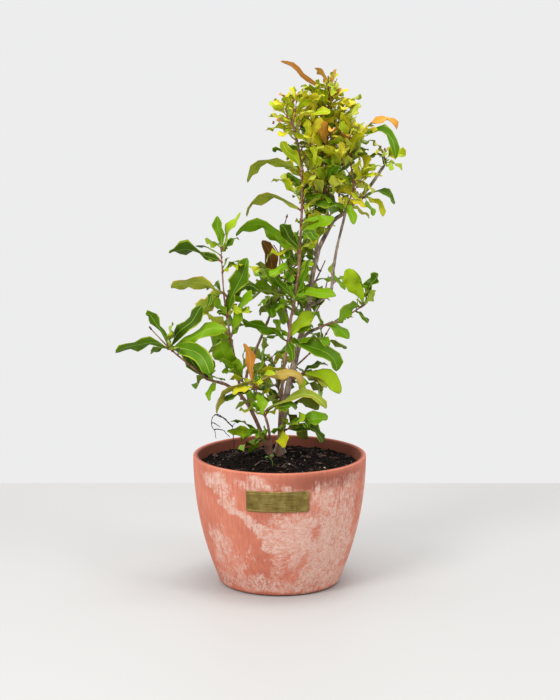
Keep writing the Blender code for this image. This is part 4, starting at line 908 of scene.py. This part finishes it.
leafShape = {
    "stations": (0.0, 0.06, 0.15, 0.26, 0.38, 0.50, 0.62, 0.75, 0.87, 0.96),
    "lance": (0.0, 0.05, 0.28, 0.60, 0.85, 0.97, 1.00, 0.90, 0.67, 0.30),  # half widths of a narrow leaf
    "spoon": (0.0, 0.05, 0.17, 0.36, 0.60, 0.82, 0.98, 1.00, 0.83, 0.46),  # and of one widest near its tip
    "petiole": 0.42, "rib": 0.26, "thick": 0.45,  # half widths and thickness in millimetres
    "rim": (0.80, 0.94),  # where the rim begins, as a share of the half width
    "wave": 0.39, "scallop": 0.18, "ragged": 0.035, "lip": 0.03, "cup": (-0.3, 0.55),  # shares of the width
    "waves": (1.5, 2.7), "depth": (0.5, 1.3),  # count and depth of a margin's waves
    "sway": 0.09, "curl": (-0.24, 0.10), "ripple": 0.06,  # shares of the length
    "twist": 1.1,  # radians
    "calm": 0.55,  # how much of all this a leaf of the outline has
    "facing": (0, -0.35, 0.5),  # turns upper sides to the front and up
}
heartOfCrown = (8, 22, 0)  # upper sides face away from it
# sprays take their plain colours from these families: blades, then rim, rib and underside
leafColors = {
    "green": (("#4c7404", "#608c06", "#375403", "#76a009", "#476a04", "#93b010", "#6b9408"),
              "#8a991c", "#8ca63c", "#7f8f30"),
    "yellow": (("#b2b811", "#c8c01c", "#9eb00d", "#d4c82a", "#92aa0f"), "#c9ae28", "#ccc84e", "#aab03a"),
    "olive": (("#8f9a2e", "#a3a23c", "#869628"), "#b49a3c", "#b4b860", "#9c9c50"),
    "amber": (("#c88a2e", "#be7a2c", "#cc963a"), "#b8742c", "#c8a058", "#b2863c"),
    "brown": (("#6b451e", "#7c4e20"), "#8a5a28", "#9a7a45", "#74522c"),
    "tan": (("#a98e42", "#9c7a38"), "#a57830", "#b8a468", "#9a8448"),
}
petioleColor = "#96583a"
# what stands already, for the tests of room: its owner, lowest and highest corner, and tree of faces
standing = {"owner": [], "low": [], "high": [], "tree": []}


def asTree(points, faces):
    # faces as a tree, which finds overlaps quickly
    return BVHTree.FromPolygons([tuple(p) for p in points], faces)


def noteStanding(owner, points, faces):
    # one more shape that later ones have to keep clear of
    for key, value in (("owner", owner), ("low", points.min(axis=0)), ("high", points.max(axis=0)),
                       ("tree", asTree(points, faces))):
        standing[key].append(value)


def isFree(owner, piece, outerPiece):
    # whether a piece is clear of all else, and its outer stretch of its own mass
    low, high = piece[0].min(axis=0), piece[0].max(axis=0)
    near = np.flatnonzero((np.array(standing["low"]) <= high).all(axis=1)
                          & (np.array(standing["high"]) >= low).all(axis=1))
    trees = [asTree(*piece), asTree(*outerPiece)]
    return not any(trees[standing["owner"][k] == owner].overlap(standing["tree"][k]) for k in near)


def skin(rings, tip=None):
    # closed rough shape through equal rings, for the tests of room only
    count, sides = len(rings), len(rings[0])
    points = [corner for ring in rings for corner in ring]
    faces = [tuple(reversed(range(sides)))]
    faces += [(k * sides + j, k * sides + (j + 1) % sides, (k + 1) * sides + (j + 1) % sides,
               (k + 1) * sides + j) for k in range(count - 1) for j in range(sides)]
    top = (count - 1) * sides
    if tip is not None:
        points.append(tip)
        faces += [(top + j, top + (j + 1) % sides, len(points) - 1) for j in range(sides)]
    return np.array(points), faces


def leafKnots(root, reach, arch, hook):
    # the midrib leaves its root at a third of its reach, raised by 4/3 of the arch; the hook carries its third
    # knot out over the tip, so that the last stretch bends down
    lift = np.array([0, 0, 1.0]) * arch * 4 / 3
    return root, root + reach * 0.33 + lift, root + reach * (0.67 + 0.33 * hook) + lift, root + reach


def leafCurve(knots, s):
    # cubic Bezier: (1-s)^3 a + 3 s (1-s)^2 b + 3 s^2 (1-s) c + s^3 d
    weights = ((1 - s) ** 3, 3 * s * (1 - s) ** 2, 3 * s**2 * (1 - s), s**3)
    return sum(weight * knot for weight, knot in zip(weights, knots))


def roughLeaf(leaf, swell=0.0, start=0.0):
    # three-cornered rings along the midrib, both margins and a keel, swollen by the clearance
    root, reach, arch, hook, width, turn = leaf
    knots = leafKnots(root, reach, arch, hook)
    level = unit(np.array([-reach[1], reach[0], 0.0]))
    few, more = ((0.0, 0.10), (0.54, 1.14)), ((0.0, 0.10), (0.37, 0.96), (0.76, 1.02))
    rings = []
    for share, wide in more if arch > growth["arched"] else few:
        share = max(share, start)
        centre = leafCurve(knots, share)
        slope = unit(leafCurve(knots, share + 0.02) - centre)
        across = unit(level - slope * level.dot(slope))
        across = math.cos(turn) * across + math.sin(turn) * np.cross(slope, across)
        under = np.cross(slope, across)
        under = under if under[2] < 0 or abs(turn) > 1.5 else -under
        half = max(width * wide / 2, growth["leafRoot"] / 2) + swell
        edge = centre - under * swell
        keel = centre + under * (growth["thinnest"] + swell)
        rings.append([edge - across * half, edge + across * half, keel])
    return skin(rings, tip=leafCurve(knots, 1.0) + swell * unit(reach))


def roughTwig(path, radius, sides=4):
    # square or six-sided rings along a path
    _, side, other = frameAlong(path)
    turns = [2 * math.pi * k / sides for k in range(sides)]
    rings = [[c + radius * (math.cos(t) * s + math.sin(t) * o) for t in turns]
             for c, s, o in zip(path, side, other)]
    return skin(rings)


def massStem(mass):
    # the twig's path: from its root on the limb, or straight on from the limb's tip
    if "root" in mass:
        return smoothPath([mass["root"]] + mass["points"], 4)
    path, _ = limbPaths[mass["limb"]]
    end, direction = atLength(path, along(path)[-1])
    lead = 0.4 * np.linalg.norm(mass["points"][0] - end)
    return smoothPath([end - direction * 1.5, end + direction * lead] + mass["points"], 4)


def beside(direction, around):
    # the direction square to a twig at an angle round it
    first, second = squareTo(direction)
    return math.cos(around) * first + math.sin(around) * second


def ruledLeaf(spot, direction, around, rise, length, chance):
    # a leaf that leaves its twig at an angle, then arches and droops by chance:
    # root, reach, arch, hook, width and turn
    droop, width, arch = (low + span * share for (low, span), share in zip(
        (growth["droop"], growth["width"], growth["arch"]), chance))
    outward = beside(direction, around)
    heading = unit(outward * math.cos(rise) + direction * math.sin(rise))
    reach = heading * length - np.array([0, 0, length * droop])
    return (spot + outward * 0.3, reach, length * arch, growth["hook"] * chance[3], length * width,
            (chance[4] - 0.5) * growth["turn"])


def growShoot(spot, direction, around, leafLength, rng):
    # a short shoot in a leaf's axil: a pair at its middle and three leaves near its tip
    length = rng.uniform(*growth["shootLength"])
    end = spot + unit(beside(direction, around) * 0.8 + direction * 0.6 + (0, 0, 0.3)) * length
    shoot = smoothPath([spot, (spot + end) / 2, end + (0, 0, length * 0.15)], 2)
    yield "shoot", shoot
    places = ((0.5, 0.0, 0.4), (0.56, 3.1, 0.4), (0.8, 1.5, 0.6), (0.88, 4.6, 0.6), (0.97, 0.4, 1.0))
    for share, turn, rise in places:
        root, ahead = atLength(shoot, length * share)
        draws = rng.random(7)
        small = leafLength * (0.72 + 0.33 * draws[0])
        yield "shoot leaf", ruledLeaf(root, ahead, turn + draws[1], rise + 0.3 * draws[1], small, draws[2:])


def growSprig(path, sprig, rng):
    # a side shoot that the photograph shows: crossed pairs of leaves and a tuft of three
    height, right, away, up, leafLength, pairCount = sprig
    root, _ = atLength(path, float(np.interp(height, path[:, 2], along(path))))
    reach = np.array([right, away, up], float)
    shoot = smoothPath([root, root + reach * 0.5 + (right * 0.12, away * 0.12, 0), root + reach], 4)
    yield "shoot", shoot
    length = along(shoot)[-1]
    turn = rng.uniform(0, math.pi)
    for share in np.linspace(0.35, 0.9, pairCount):
        spot, ahead = atLength(shoot, length * share)
        turn += math.pi / 2
        for side in (0, math.pi):
            draws = rng.random(7)
            draws[0] *= 0.4
            size = leafLength * (1.25 - 0.4 * share) * (0.8 + 0.4 * draws[5])
            around, rise = turn + side + 0.4 * draws[6], 0.55 + 0.5 * draws[5]
            yield "leaf", ruledLeaf(spot, ahead, around, rise, size, draws[:5])
    spot, ahead = atLength(shoot, length - 0.5)
    for step in range(3):
        draws = rng.random(6)
        draws[0] *= 0.4
        yield "leaf", ruledLeaf(spot, ahead, step * 2.1 + draws[5], 0.95, leafLength * 0.75, draws[:5])


def growMass(mass, path, step):
    # the CAD model's seeded rule: crossed leaf pairs up the twig, small leaves or short shoots in their axils,
    # and a tuft at the tip; a leaf is shorter by up to 0.3 towards the tip
    rng = np.random.default_rng(mass["seed"] + step["seed"])
    shortest, longest = (size * step["leaf"] for size in mass["leaf"])
    total = along(path)[-1]
    turn = rng.uniform(0, math.pi)
    distance = min(4.0, total / 4)
    while distance < total - 2:
        root, direction = atLength(path, distance)
        axil, _ = atLength(path, distance + 2)
        turn += math.pi / 2 + rng.uniform(-0.3, 0.3)
        yield "pair", (root, direction)
        for side in (0, math.pi):
            draws = rng.random(16)
            around = turn + side + (draws[0] - 0.5) * 0.7
            length = (shortest + (longest - shortest) * draws[1]) * (1 - 0.30 * distance / total)
            yield "leaf", ruledLeaf(root, direction, around, 0.15 + 0.6 * draws[2], length, draws[3:8])
            if draws[8] < mass["shoots"] + step["shoots"]:
                yield from growShoot(axil, direction, around, length, rng)
            elif draws[8] > 0.7:
                small, rise = length * (0.45 + 0.25 * draws[10]), 0.7 + 0.4 * draws[2]
                yield "leaf", ruledLeaf(axil, direction, around + 0.5, rise, small, draws[11:16])
        distance += mass["pitch"] * step["pitch"] * (0.85 + 0.3 * rng.random())
    for number in range(mass["tips"]):
        root, direction = atLength(path, total - 0.8 - 1.1 * number)
        draws = rng.random(8)
        length, rise = (shortest + (longest - shortest) * draws[0]) * 0.72, 0.35 + 0.9 * draws[2]
        yield "leaf", ruledLeaf(root, direction, number * 2.4 + draws[1], rise, length, draws[3:8])


def tintOf(height, rng):
    # greens below; the chances of yellow, and with its square of amber, rise evenly with height
    warm = min(max((height - growth["warmFrom"]) / growth["warmOver"], 0), 1)
    draw = rng.random()
    if draw < growth["amber"][0] + growth["amber"][1] * warm ** 2:
        return "amber"
    return "yellow" if draw < growth["yellow"][0] + growth["yellow"][1] * warm else "green"


def inSky(points):
    # whether points hide one of the places where the photograph shows no plant: they are
    # carried from the camera on to the upright plane through the pot's axis and set against ellipses there
    eye = np.array(stage["cameraPlace"]) / mm
    seen = eye + (points - eye) * (-eye[1] / (points[:, 1] - eye[1]))[:, None]
    return any((((seen[:, 0] - x) / wide) ** 2 + ((seen[:, 2] - z) / tall) ** 2 < 1).any()
               for x, z, wide, tall in skyThrough)


def hidesStem(name, leaf):
    # whether a leaf points at the viewer from a stem that the photograph shows bare in front of the leaves
    right, away, _ = leaf[1]
    return name in growth["seenStems"] and away < growth["towards"] and abs(right) < growth["sideways"]


def growCrown():
    # shown leaves and sprigs of every mass first, then the rule in every mass, then its finer growth between;
    # what doesn't find room is left out
    for name, (path, radii) in limbPaths.items():
        noteStanding(name, *roughTwig(path[::4], float(radii.mean()), 6))
    for node in ("pot", "soil", "label_plate"):
        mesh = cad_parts[node].data
        points = np.empty(len(mesh.vertices) * 3)
        mesh.vertices.foreach_get("co", points)
        noteStanding(node, points.reshape(-1, 3) / mm, [tuple(face.vertices) for face in mesh.polygons])
    leaves, shoots, pairs, stems, used = [], [], [], {}, []
    boxLow, boxHigh = np.array(cadBox[0]) / mm - 1, np.array(cadBox[1]) / mm + 1
    for name, mass in masses.items():
        stems[name] = massStem(mass)
        noteStanding(name, *roughTwig(stems[name][::2], 0.5 * (mass["radius"] + growth["twigTip"])))

    def tryLeaf(leaf, name, tint, limit, origin):
        ruled, clearance = origin == "ruled", growth["clearance"][origin]
        if ruled and (inSky(roughLeaf(leaf, clearance)[0]) or hidesStem(name, leaf)):
            return False
        slim = leaf if origin == "shown" else (*leaf[:4], leaf[4] * growth["slim"], leaf[5])
        swollen = roughLeaf(slim, clearance)
        low, high = swollen[0].min(axis=0), swollen[0].max(axis=0)
        if ruled and ((low < boxLow).any() or (high > boxHigh).any()):
            return False
        if np.linalg.norm(swollen[0][:, None] - stems[name][None], axis=2).min(axis=1).max() > limit:
            return False
        if not isFree(name, swollen, roughLeaf(slim, clearance, growth["freeFrom"])):
            return False
        noteStanding(name, *roughLeaf(slim))
        leaves.append((name, leaf, tint, not ruled))
        return True

    for name, mass in masses.items():
        rng = np.random.default_rng(mass["seed"] + 7000)
        for height, right, away, up, arch, hook, width, turn, *tint in mass.get("shown", []):
            path = stems[name]
            root, direction = atLength(path, float(np.interp(height, path[:, 2], along(path))))
            reach = np.array([right, away, up], float)
            leaf = (root + unit(reach) * 0.3, reach, arch, hook, width, math.radians(turn))
            guess = "green" if root[2] < growth["greenBelow"] else tintOf(root[2] + up * 0.5, rng)
            tryLeaf(leaf, name, tint[0] if tint else guess, mass["reach"] + growth["pastTwig"], "shown")
            pairs.append((root, direction, mass["radius"]))
    for name, mass in masses.items():
        rng = np.random.default_rng(mass["seed"] + 7500)
        for sprig in mass.get("sprigs", []):
            for kind, thing in growSprig(stems[name], sprig, rng):
                if kind == "shoot":
                    noteStanding(name, *roughTwig(thing, 0.6))
                    shoots.append(thing)
                    tint = tintOf(thing[-1][2], rng)
                else:
                    tryLeaf(thing, name, tint, mass["reach"] + growth["pastTwig"], "sprig")
    sprigCount = len(shoots)
    for number, step in enumerate(growth["passes"]):
        for name, mass in masses.items():
            rng = np.random.default_rng(mass["seed"] + 8000 + step["seed"])
            onShoot, tint, limit = False, "green", mass["reach"] * step["reach"]
            for kind, thing in growMass(mass, stems[name], step):
                if kind == "pair":
                    tint = tintOf(thing[0][2], rng)
                    if number == 0:
                        pairs.append((*thing, mass["radius"]))
                elif kind == "shoot":
                    onShoot = not inSky(thing) and isFree(
                        name, roughTwig(thing, 0.9), roughTwig(thing[1:], 0.9))
                    tint = tintOf(thing[-1][2], rng)
                    if onShoot:
                        noteStanding(name, *roughTwig(thing, 0.6))
                        shoots.append(thing)
                elif kind == "leaf":
                    tryLeaf(thing, name, tint, limit, "ruled")
                elif onShoot and tryLeaf(thing, name, tint, limit, "ruled"):
                    used.append(len(shoots) - 1)
    shoots = [shoot for k, shoot in enumerate(shoots) if k < sprigCount or k in used]  # none is left bare
    return leaves, shoots, pairs, stems


def leafPoints(leaves, seed):
    # Every leaf is the same net of 10 stations by 7 corners and a tip. Midrib: the Bezier curve above, swayed
    # sideways by a sine, curled at its tip by the cube of the share and rippled. A station's corners are
    # both margins, both inner edges of the rim, both sides of the rib and the keel below it:
    # midrib + across (half width times place) + upward (cup times half width + a sine wave at the margin)
    rng = np.random.default_rng(seed)
    count = len(leaves)
    draw = lambda low, high: rng.uniform(low, high, (count, 1, 1))
    root, reach = (np.array([leaf[1][k] for leaf in leaves])[:, None] for k in (0, 1))
    arch, hook, width, turn = (np.array([leaf[1][k] for leaf in leaves])[:, None, None] for k in (2, 3, 4, 5))
    calm = np.array([leafShape["calm"] if leaf[3] else 1.0 for leaf in leaves])[:, None, None]
    length = np.linalg.norm(reach, axis=2, keepdims=True) * calm
    a, b, c, d = knots = leafKnots(root, reach, arch, hook)
    s = np.array([*leafShape["stations"], 1.0])[None, :, None]
    spine = leafCurve(knots, s)
    slope = unit(3 * (1 - s) ** 2 * (b - a) + 6 * (1 - s) * s * (c - b) + 3 * s**2 * (d - c))
    level = unit(np.concatenate([-reach[..., 1:2], reach[..., 0:1], np.zeros((count, 1, 1))], axis=2))
    first = unit(level - slope * (slope * level).sum(axis=2, keepdims=True))
    second = np.cross(slope, first)
    angle = turn + calm * draw(-leafShape["twist"], leafShape["twist"]) * (s - 0.3)
    blade = np.cos(angle) * first + np.sin(angle) * second
    upward, across = np.cross(slope, blade), -blade
    # the upper side faces up and away from the middle of the crown: those in front face the front
    outward = (root + 0.6 * reach - heartOfCrown) * (1, 1, 0)
    facing = (upward[:, 4:5] * (unit(outward) + leafShape["facing"])).sum(axis=2, keepdims=True)
    upward, across = (np.where(facing < 0, -1.0, 1.0) * axis for axis in (upward, across))
    swing = np.sin(math.pi * s) * np.sin(2 * math.pi * s + draw(0, 6.28))
    ripple = draw(0, 1) * np.sin(math.pi * s) * np.sin(9.0 * s + draw(0, 6.28))
    spine = spine + length * (across * swing * leafShape["sway"] + upward * (
        draw(*leafShape["curl"]) * s**3 + ripple * leafShape["ripple"]))
    s, upward, across = s[:, :-1], upward[:, :-1], across[:, :-1]
    mix = draw(0, 1) * calm**2
    lance, spoon = (np.array(leafShape[name])[None, :, None] for name in ("lance", "spoon"))
    shape = mix * spoon + (1 - mix) * lance
    grown = np.sin(math.pi * np.clip(s + 0.04, 0, 1)) ** 0.5
    cup = draw(*leafShape["cup"])
    edges = []
    for side in (-1, 1):  # each margin has its own waves
        waves, phase, depth = draw(*leafShape["waves"]), draw(0, 1), draw(*leafShape["depth"])
        wide = 1 + calm**0.5 * leafShape["scallop"] * np.sin(2 * math.pi * (waves * s + phase + 0.25))
        wide = wide + leafShape["ragged"] * rng.uniform(-1, 1, (count, s.shape[1], 1))
        wide = wide * width / 2 * shape + leafShape["petiole"]
        wave = calm**0.5 * depth * leafShape["wave"] * width * grown * np.sin(
            2 * math.pi * (waves * s + phase))
        edges.append((side, wide, wave))
    corners = {}  # across and upward of each corner, from the margin to the rib
    for side, wide, wave in edges:
        rim, rib = rng.uniform(*leafShape["rim"], wide.shape), np.minimum(leafShape["rib"], 0.4 * wide)
        corners[side] = [(side * wide, cup * wide + wave - leafShape["lip"] * width),
                         (side * wide * rim, cup * wide * rim + 0.8 * wave), (side * rib, 0 * wide)]
    ring = corners[-1] + corners[1][::-1] + [(0 * wide, 0 * wide - leafShape["thick"])]
    rings = np.stack([spine[:, :-1] + across * out + upward * rise for out, rise in ring], axis=2)
    return np.concatenate([rings.reshape(count, -1, 3), spine[:, -1:]], axis=1)


def leafFaces(count):
    # the nets of all leaves: four corners of every cell, then three to every tip, then seven at every root,
    # each face's kind (petiole, rim, blade, rib or underside) and leaf, and the margin that each point is on
    stations, around = len(leafShape["stations"]), 7
    size = stations * around + 1
    k, starts = np.arange(around), size * np.arange(count)[:, None, None]
    cells = gridFaces(stations, around, wrap=True)
    below = np.arange(len(cells)) % around > 4
    cells[below] = np.roll(cells[below], -1, axis=1)  # both sides of a leaf then split along one diagonal
    last = size - 1 - around
    tip = np.stack([last + k, last + (k + 1) % around, np.full(around, size - 1)], axis=1)
    faces = [*(cells + starts).reshape(-1, 4).tolist(), *(tip + starts).reshape(-1, 3).tolist(),
             *(k[::-1] + starts[:, 0]).tolist()]
    kind = np.tile([2, 1, 3, 1, 2, 4, 4], stations)  # rim, blade, rib, blade, rim and underside
    kind[:around] = 0  # petiole
    kinds = np.concatenate([np.tile(kind[:len(cells)], count), np.tile(kind[len(cells):], count),
                            np.zeros(count, int)])
    leafOf = np.concatenate([np.repeat(np.arange(count), n) for n in (len(cells), around, 1)])
    margin = np.full((count, size), -1)
    for side, corner in enumerate((0, 5)):
        margin[:, corner:size - 1:around] = side + 2 * np.arange(count)[:, None]
    return faces, kinds, leafOf, margin.ravel()


def creaseMargins(piece, margin):
    # a hard edge wherever both ends are on the same margin
    ends = np.empty(len(piece.data.edges) * 2, np.int32)
    piece.data.edges.foreach_get("vertices", ends)
    ends = margin[ends.reshape(-1, 2)]
    sharp = piece.data.attributes.new("sharp_edge", "BOOLEAN", "EDGE")
    sharp.data.foreach_set("value", (ends[:, 0] >= 0) & (ends[:, 0] == ends[:, 1]))


def leafMaterial(name, hexColor, roughness):
    # a waxy, greenish sheen, weaker than that of a smooth plastic
    return newMaterial(name, hexColor, roughness, **{
        "IOR": 1.45, "Specular IOR Level": 0.3, "Specular Tint": toLinear("#f0ffb0")})


def leafMaterials():
    # Pomegranate leaf, grown: thin, leathery and glossy, with a paler rib and rim and a matter underside.
    # Each colour is plain, and sprays share them out
    numbers, made = {}, [newMaterial("petiole, grown, coral red", petioleColor, 0.45)]
    for family, (blades, rim, rib, under) in leafColors.items():
        others = []
        for part, hexColor, rough in (("rim", rim, 0.42), ("rib", rib, 0.45), ("underside", under, 0.6)):
            made.append(leafMaterial(f"{family} leaf, grown, {part}", hexColor, rough))
            others.append(len(made) - 1)
        for hexColor in blades:
            made.append(leafMaterial(f"{family} leaf, grown, glossy {hexColor[1:]}", hexColor, 0.40))
            numbers.setdefault(family, []).append((0, len(made) - 1, others[0], others[1], others[2]))
    return made, numbers


crownPieces = {
    "crownLow": (
        "leaves_shoot", "leaves_foot_left", "leaves_foot_right", "leaves_far_left", "leaves_left_middle",
        "leaves_low_right", "leaves_right_low", "leaves_back_low", "leaves_right_back"),
    "crownMiddle": (
        "leaves_front", "leaves_left_up", "leaves_middle", "leaves_trunk_right", "leaves_back_middle",
        "leaves_back_right"),
    "crownHigh": (
        "leaves_top", "leaves_top_right", "leaves_centre", "leaves_right", "leaves_right_tip",
        "leaves_right_under", "leaves_back_high"),
}


def makeCrown():
    # the leaves in three pieces, then the twigs and shoots with their red nodes as one
    leaves, shoots, pairs, stems = growCrown()
    print("crown grown,", len(leaves), "leaves on", len(shoots), "side shoots")
    materials, numbers = leafMaterials()
    for piece, owners in crownPieces.items():
        mine = [leaf for leaf in leaves if leaf[0] in owners]
        rng = np.random.default_rng(len(piece))
        tints = np.array([numbers[leaf[2]][rng.integers(len(numbers[leaf[2]]))] for leaf in mine])
        points = leafPoints(mine, 900 + len(piece)).reshape(-1, 3)
        faces, kinds, leafOf, margin = leafFaces(len(mine))
        made = makePiece(piece, points, faces, materials, "young_leaf" if piece == "crownHigh" else "leaf",
                         tints[leafOf, kinds], stands=list(owners))
        creaseMargins(made, margin)
    parts, beads = [], []
    for number, (name, path) in enumerate(stems.items()):
        even = evenly(path, 2.0)
        share = along(even) / along(even)[-1]
        radii = masses[name]["radius"] * (1 - share) + masses[name].get("tipRadius", growth["twigTip"]) * share
        parts.append(tube(even, radii * (1 + 0.06 * np.sin(along(even) / 3.1 + number)), growth["twigSides"]))
    for shoot in shoots:
        path = evenly(shoot, 2.5)
        parts.append(tube(path, np.linspace(*growth["shootRadius"], len(path)), growth["shootSides"]))
    for root, direction, radius in pairs:
        bead = np.array([root + direction * d for d in (-1.1, -0.4, 0.4, 1.1)])
        beads.append(tube(bead, np.array([0.75, 1.1, 1.1, 0.75]) * (radius * 0.8 + 0.2), 6))
    points, faces, part = joined(parts + beads)
    node = newMaterial("leaf node, grown, coral red", woody["node"], 0.5)
    makePiece("twigs", points, faces, [youngBark, node], "young_bark", part >= len(parts))


makeCrown()
print("crown ready")


# Black dead twigs at the pot's back left

deadTwigs = {
    "radius": (0.62, 0.30), "kink": 0.28, "color": ("#14100e", "#2a2320", "#453a33"),
    "paths": [
        ((-46, 28, 124.6), (-47, 28, 140), (-48, 25, 154), (-46, 24, 158)),
        ((-48, 25, 154), (-58, 26, 164), (-66, 25, 167), (-70, 25, 158), (-67, 25, 151), (-65, 26, 142)),
        ((-67, 25, 151), (-62, 24, 152), (-57, 24, 150), (-51, 26, 143)),
        ((-70, 25, 158), (-66, 24, 158), (-61, 24, 154)),
        ((-66, 25, 167), (-57, 29, 162), (-48, 25, 154))],
}


def makeDeadTwigs():
    # dead twig, dried: brittle and black, its kinks a sine along each path
    parts = []
    for number, corners in enumerate(deadTwigs["paths"]):
        path = evenly(smoothPath(corners, 8), 1.2)
        lengths = along(path)
        kinks = [np.sin(lengths / 1.7 + number), np.cos(lengths / 2.3), np.sin(lengths / 1.3)]
        sway = np.stack(kinks, axis=1) * deadTwigs["kink"]
        sway[[0, -1]] = 0
        share = lengths / lengths[-1]
        radii = deadTwigs["radius"][0] * (1 - share) + deadTwigs["radius"][1] * share
        parts.append(tube(path + sway, radii * (1 + 0.25 * np.sin(lengths * 1.9)), 6))
    wood = woodMaterial("dead twig, dried black", deadTwigs["color"], 0.7, 0.0009)
    makePiece("deadTwigs", *joined(parts)[:2], [wood], "dead_wood", stands=["dead_twigs"])


makeDeadTwigs()
print("dead twigs ready")


# Small dry twigs, stubs and buds on the tree, and a seedling and roots on the mix

extras = {
    "twigs": [  # corner points and radii
        (((-6, 20, 278), (4, 18, 299), (4, 18, 321), (-2, 16, 336), (-6, 15, 343)), 0.8, 0.5),
        (((41, 26, 374), (44, 20, 404), (44, 18, 421)), 1.0, 0.9), (((44, 21, 394), (41, 20, 406)), 0.6, 0.45),
        (((44, 21, 396), (49, 20, 409)), 0.6, 0.45), (((38, 26, 372), (31, 24, 397), (29, 22, 417)), 0.7, 0.5),
        (((-126, -38, 266), (-128, -39, 269)), 1.0, 0.8), (((104, 24, 423), (102, 21, 433)), 0.8, 0.7)],
    # black cut end on the far left stem
    "stub": (((-72, -9, 211), (-74, -10.5, 215), (-78, -12, 220)), 1.9, 1.2),
    "roots": [(((0, -45, 127), (8, -45, 133), (17, -45, 128)), 0.5, 0.3),
              (((-25, -40, 129), (-18, -41, 134), (-11, -40, 133)), 0.6, 0.45)],
    "seedling": [(((-8, -45, 126), (-7, -46, 134), (-10, -46, 139)), 0.5, 0.35),
                 (((-10, -46, 138), (-12, -47, 140), (-14, -47, 139)), 0.3, 1.1),
                 (((-10, -46, 138), (-9, -47, 141), (-6, -47, 141)), 0.3, 1.0)],
    "buds": [(5, -14, 489), (4, -14, 481), (10, -13, 468), (-6, -14, 467), (33, -8, 466), (43, 0, 484),
             (48, 3, 510), (97, 20, 436), (105, 21, 438), (12, -11, 470)],
    "budSize": (1.1, 1.1, 2.0), "dryColors": ("#2b211c", "#4e3e35", "#75645a"), "budColor": "#7c4a22",
    "stubColor": "#191512", "seedlingColor": "#46701a",
}


def makeExtras():
    # thin tubes along the paths, and crumbs as buds; kinds are dry wood, bud, stub and seedling
    dry = woodMaterial("dead pomegranate twig, dried", extras["dryColors"], 0.8, 0.0009)
    plain = [newMaterial(name, extras[key], 0.6) for name, key in (
        ("leaf bud, grown, brown scales", "budColor"), ("pruned end, dried black", "stubColor"),
        ("seedling, grown", "seedlingColor"))]
    parts, kinds = [], []
    groups = ((0, extras["twigs"]), (2, [extras["stub"]]), (0, extras["roots"]), (3, extras["seedling"]))
    for kind, group in groups:
        for corners, rootRadius, tipRadius in group:
            path = evenly(smoothPath(corners, 6), 1.5)
            parts.append(tube(path, np.linspace(rootRadius, tipRadius, len(path)), 6))
            kinds.append(kind)
    buds = np.array(extras["buds"], float)
    points, faces, part = joined([*parts, crumbs(buds, np.tile(extras["budSize"], (len(buds), 1)), 61)])
    makePiece("stubsAndBuds", points, faces, [dry, *plain], "young_bark", np.array([*kinds, 1])[part])


makeExtras()
print("stubs and buds ready")
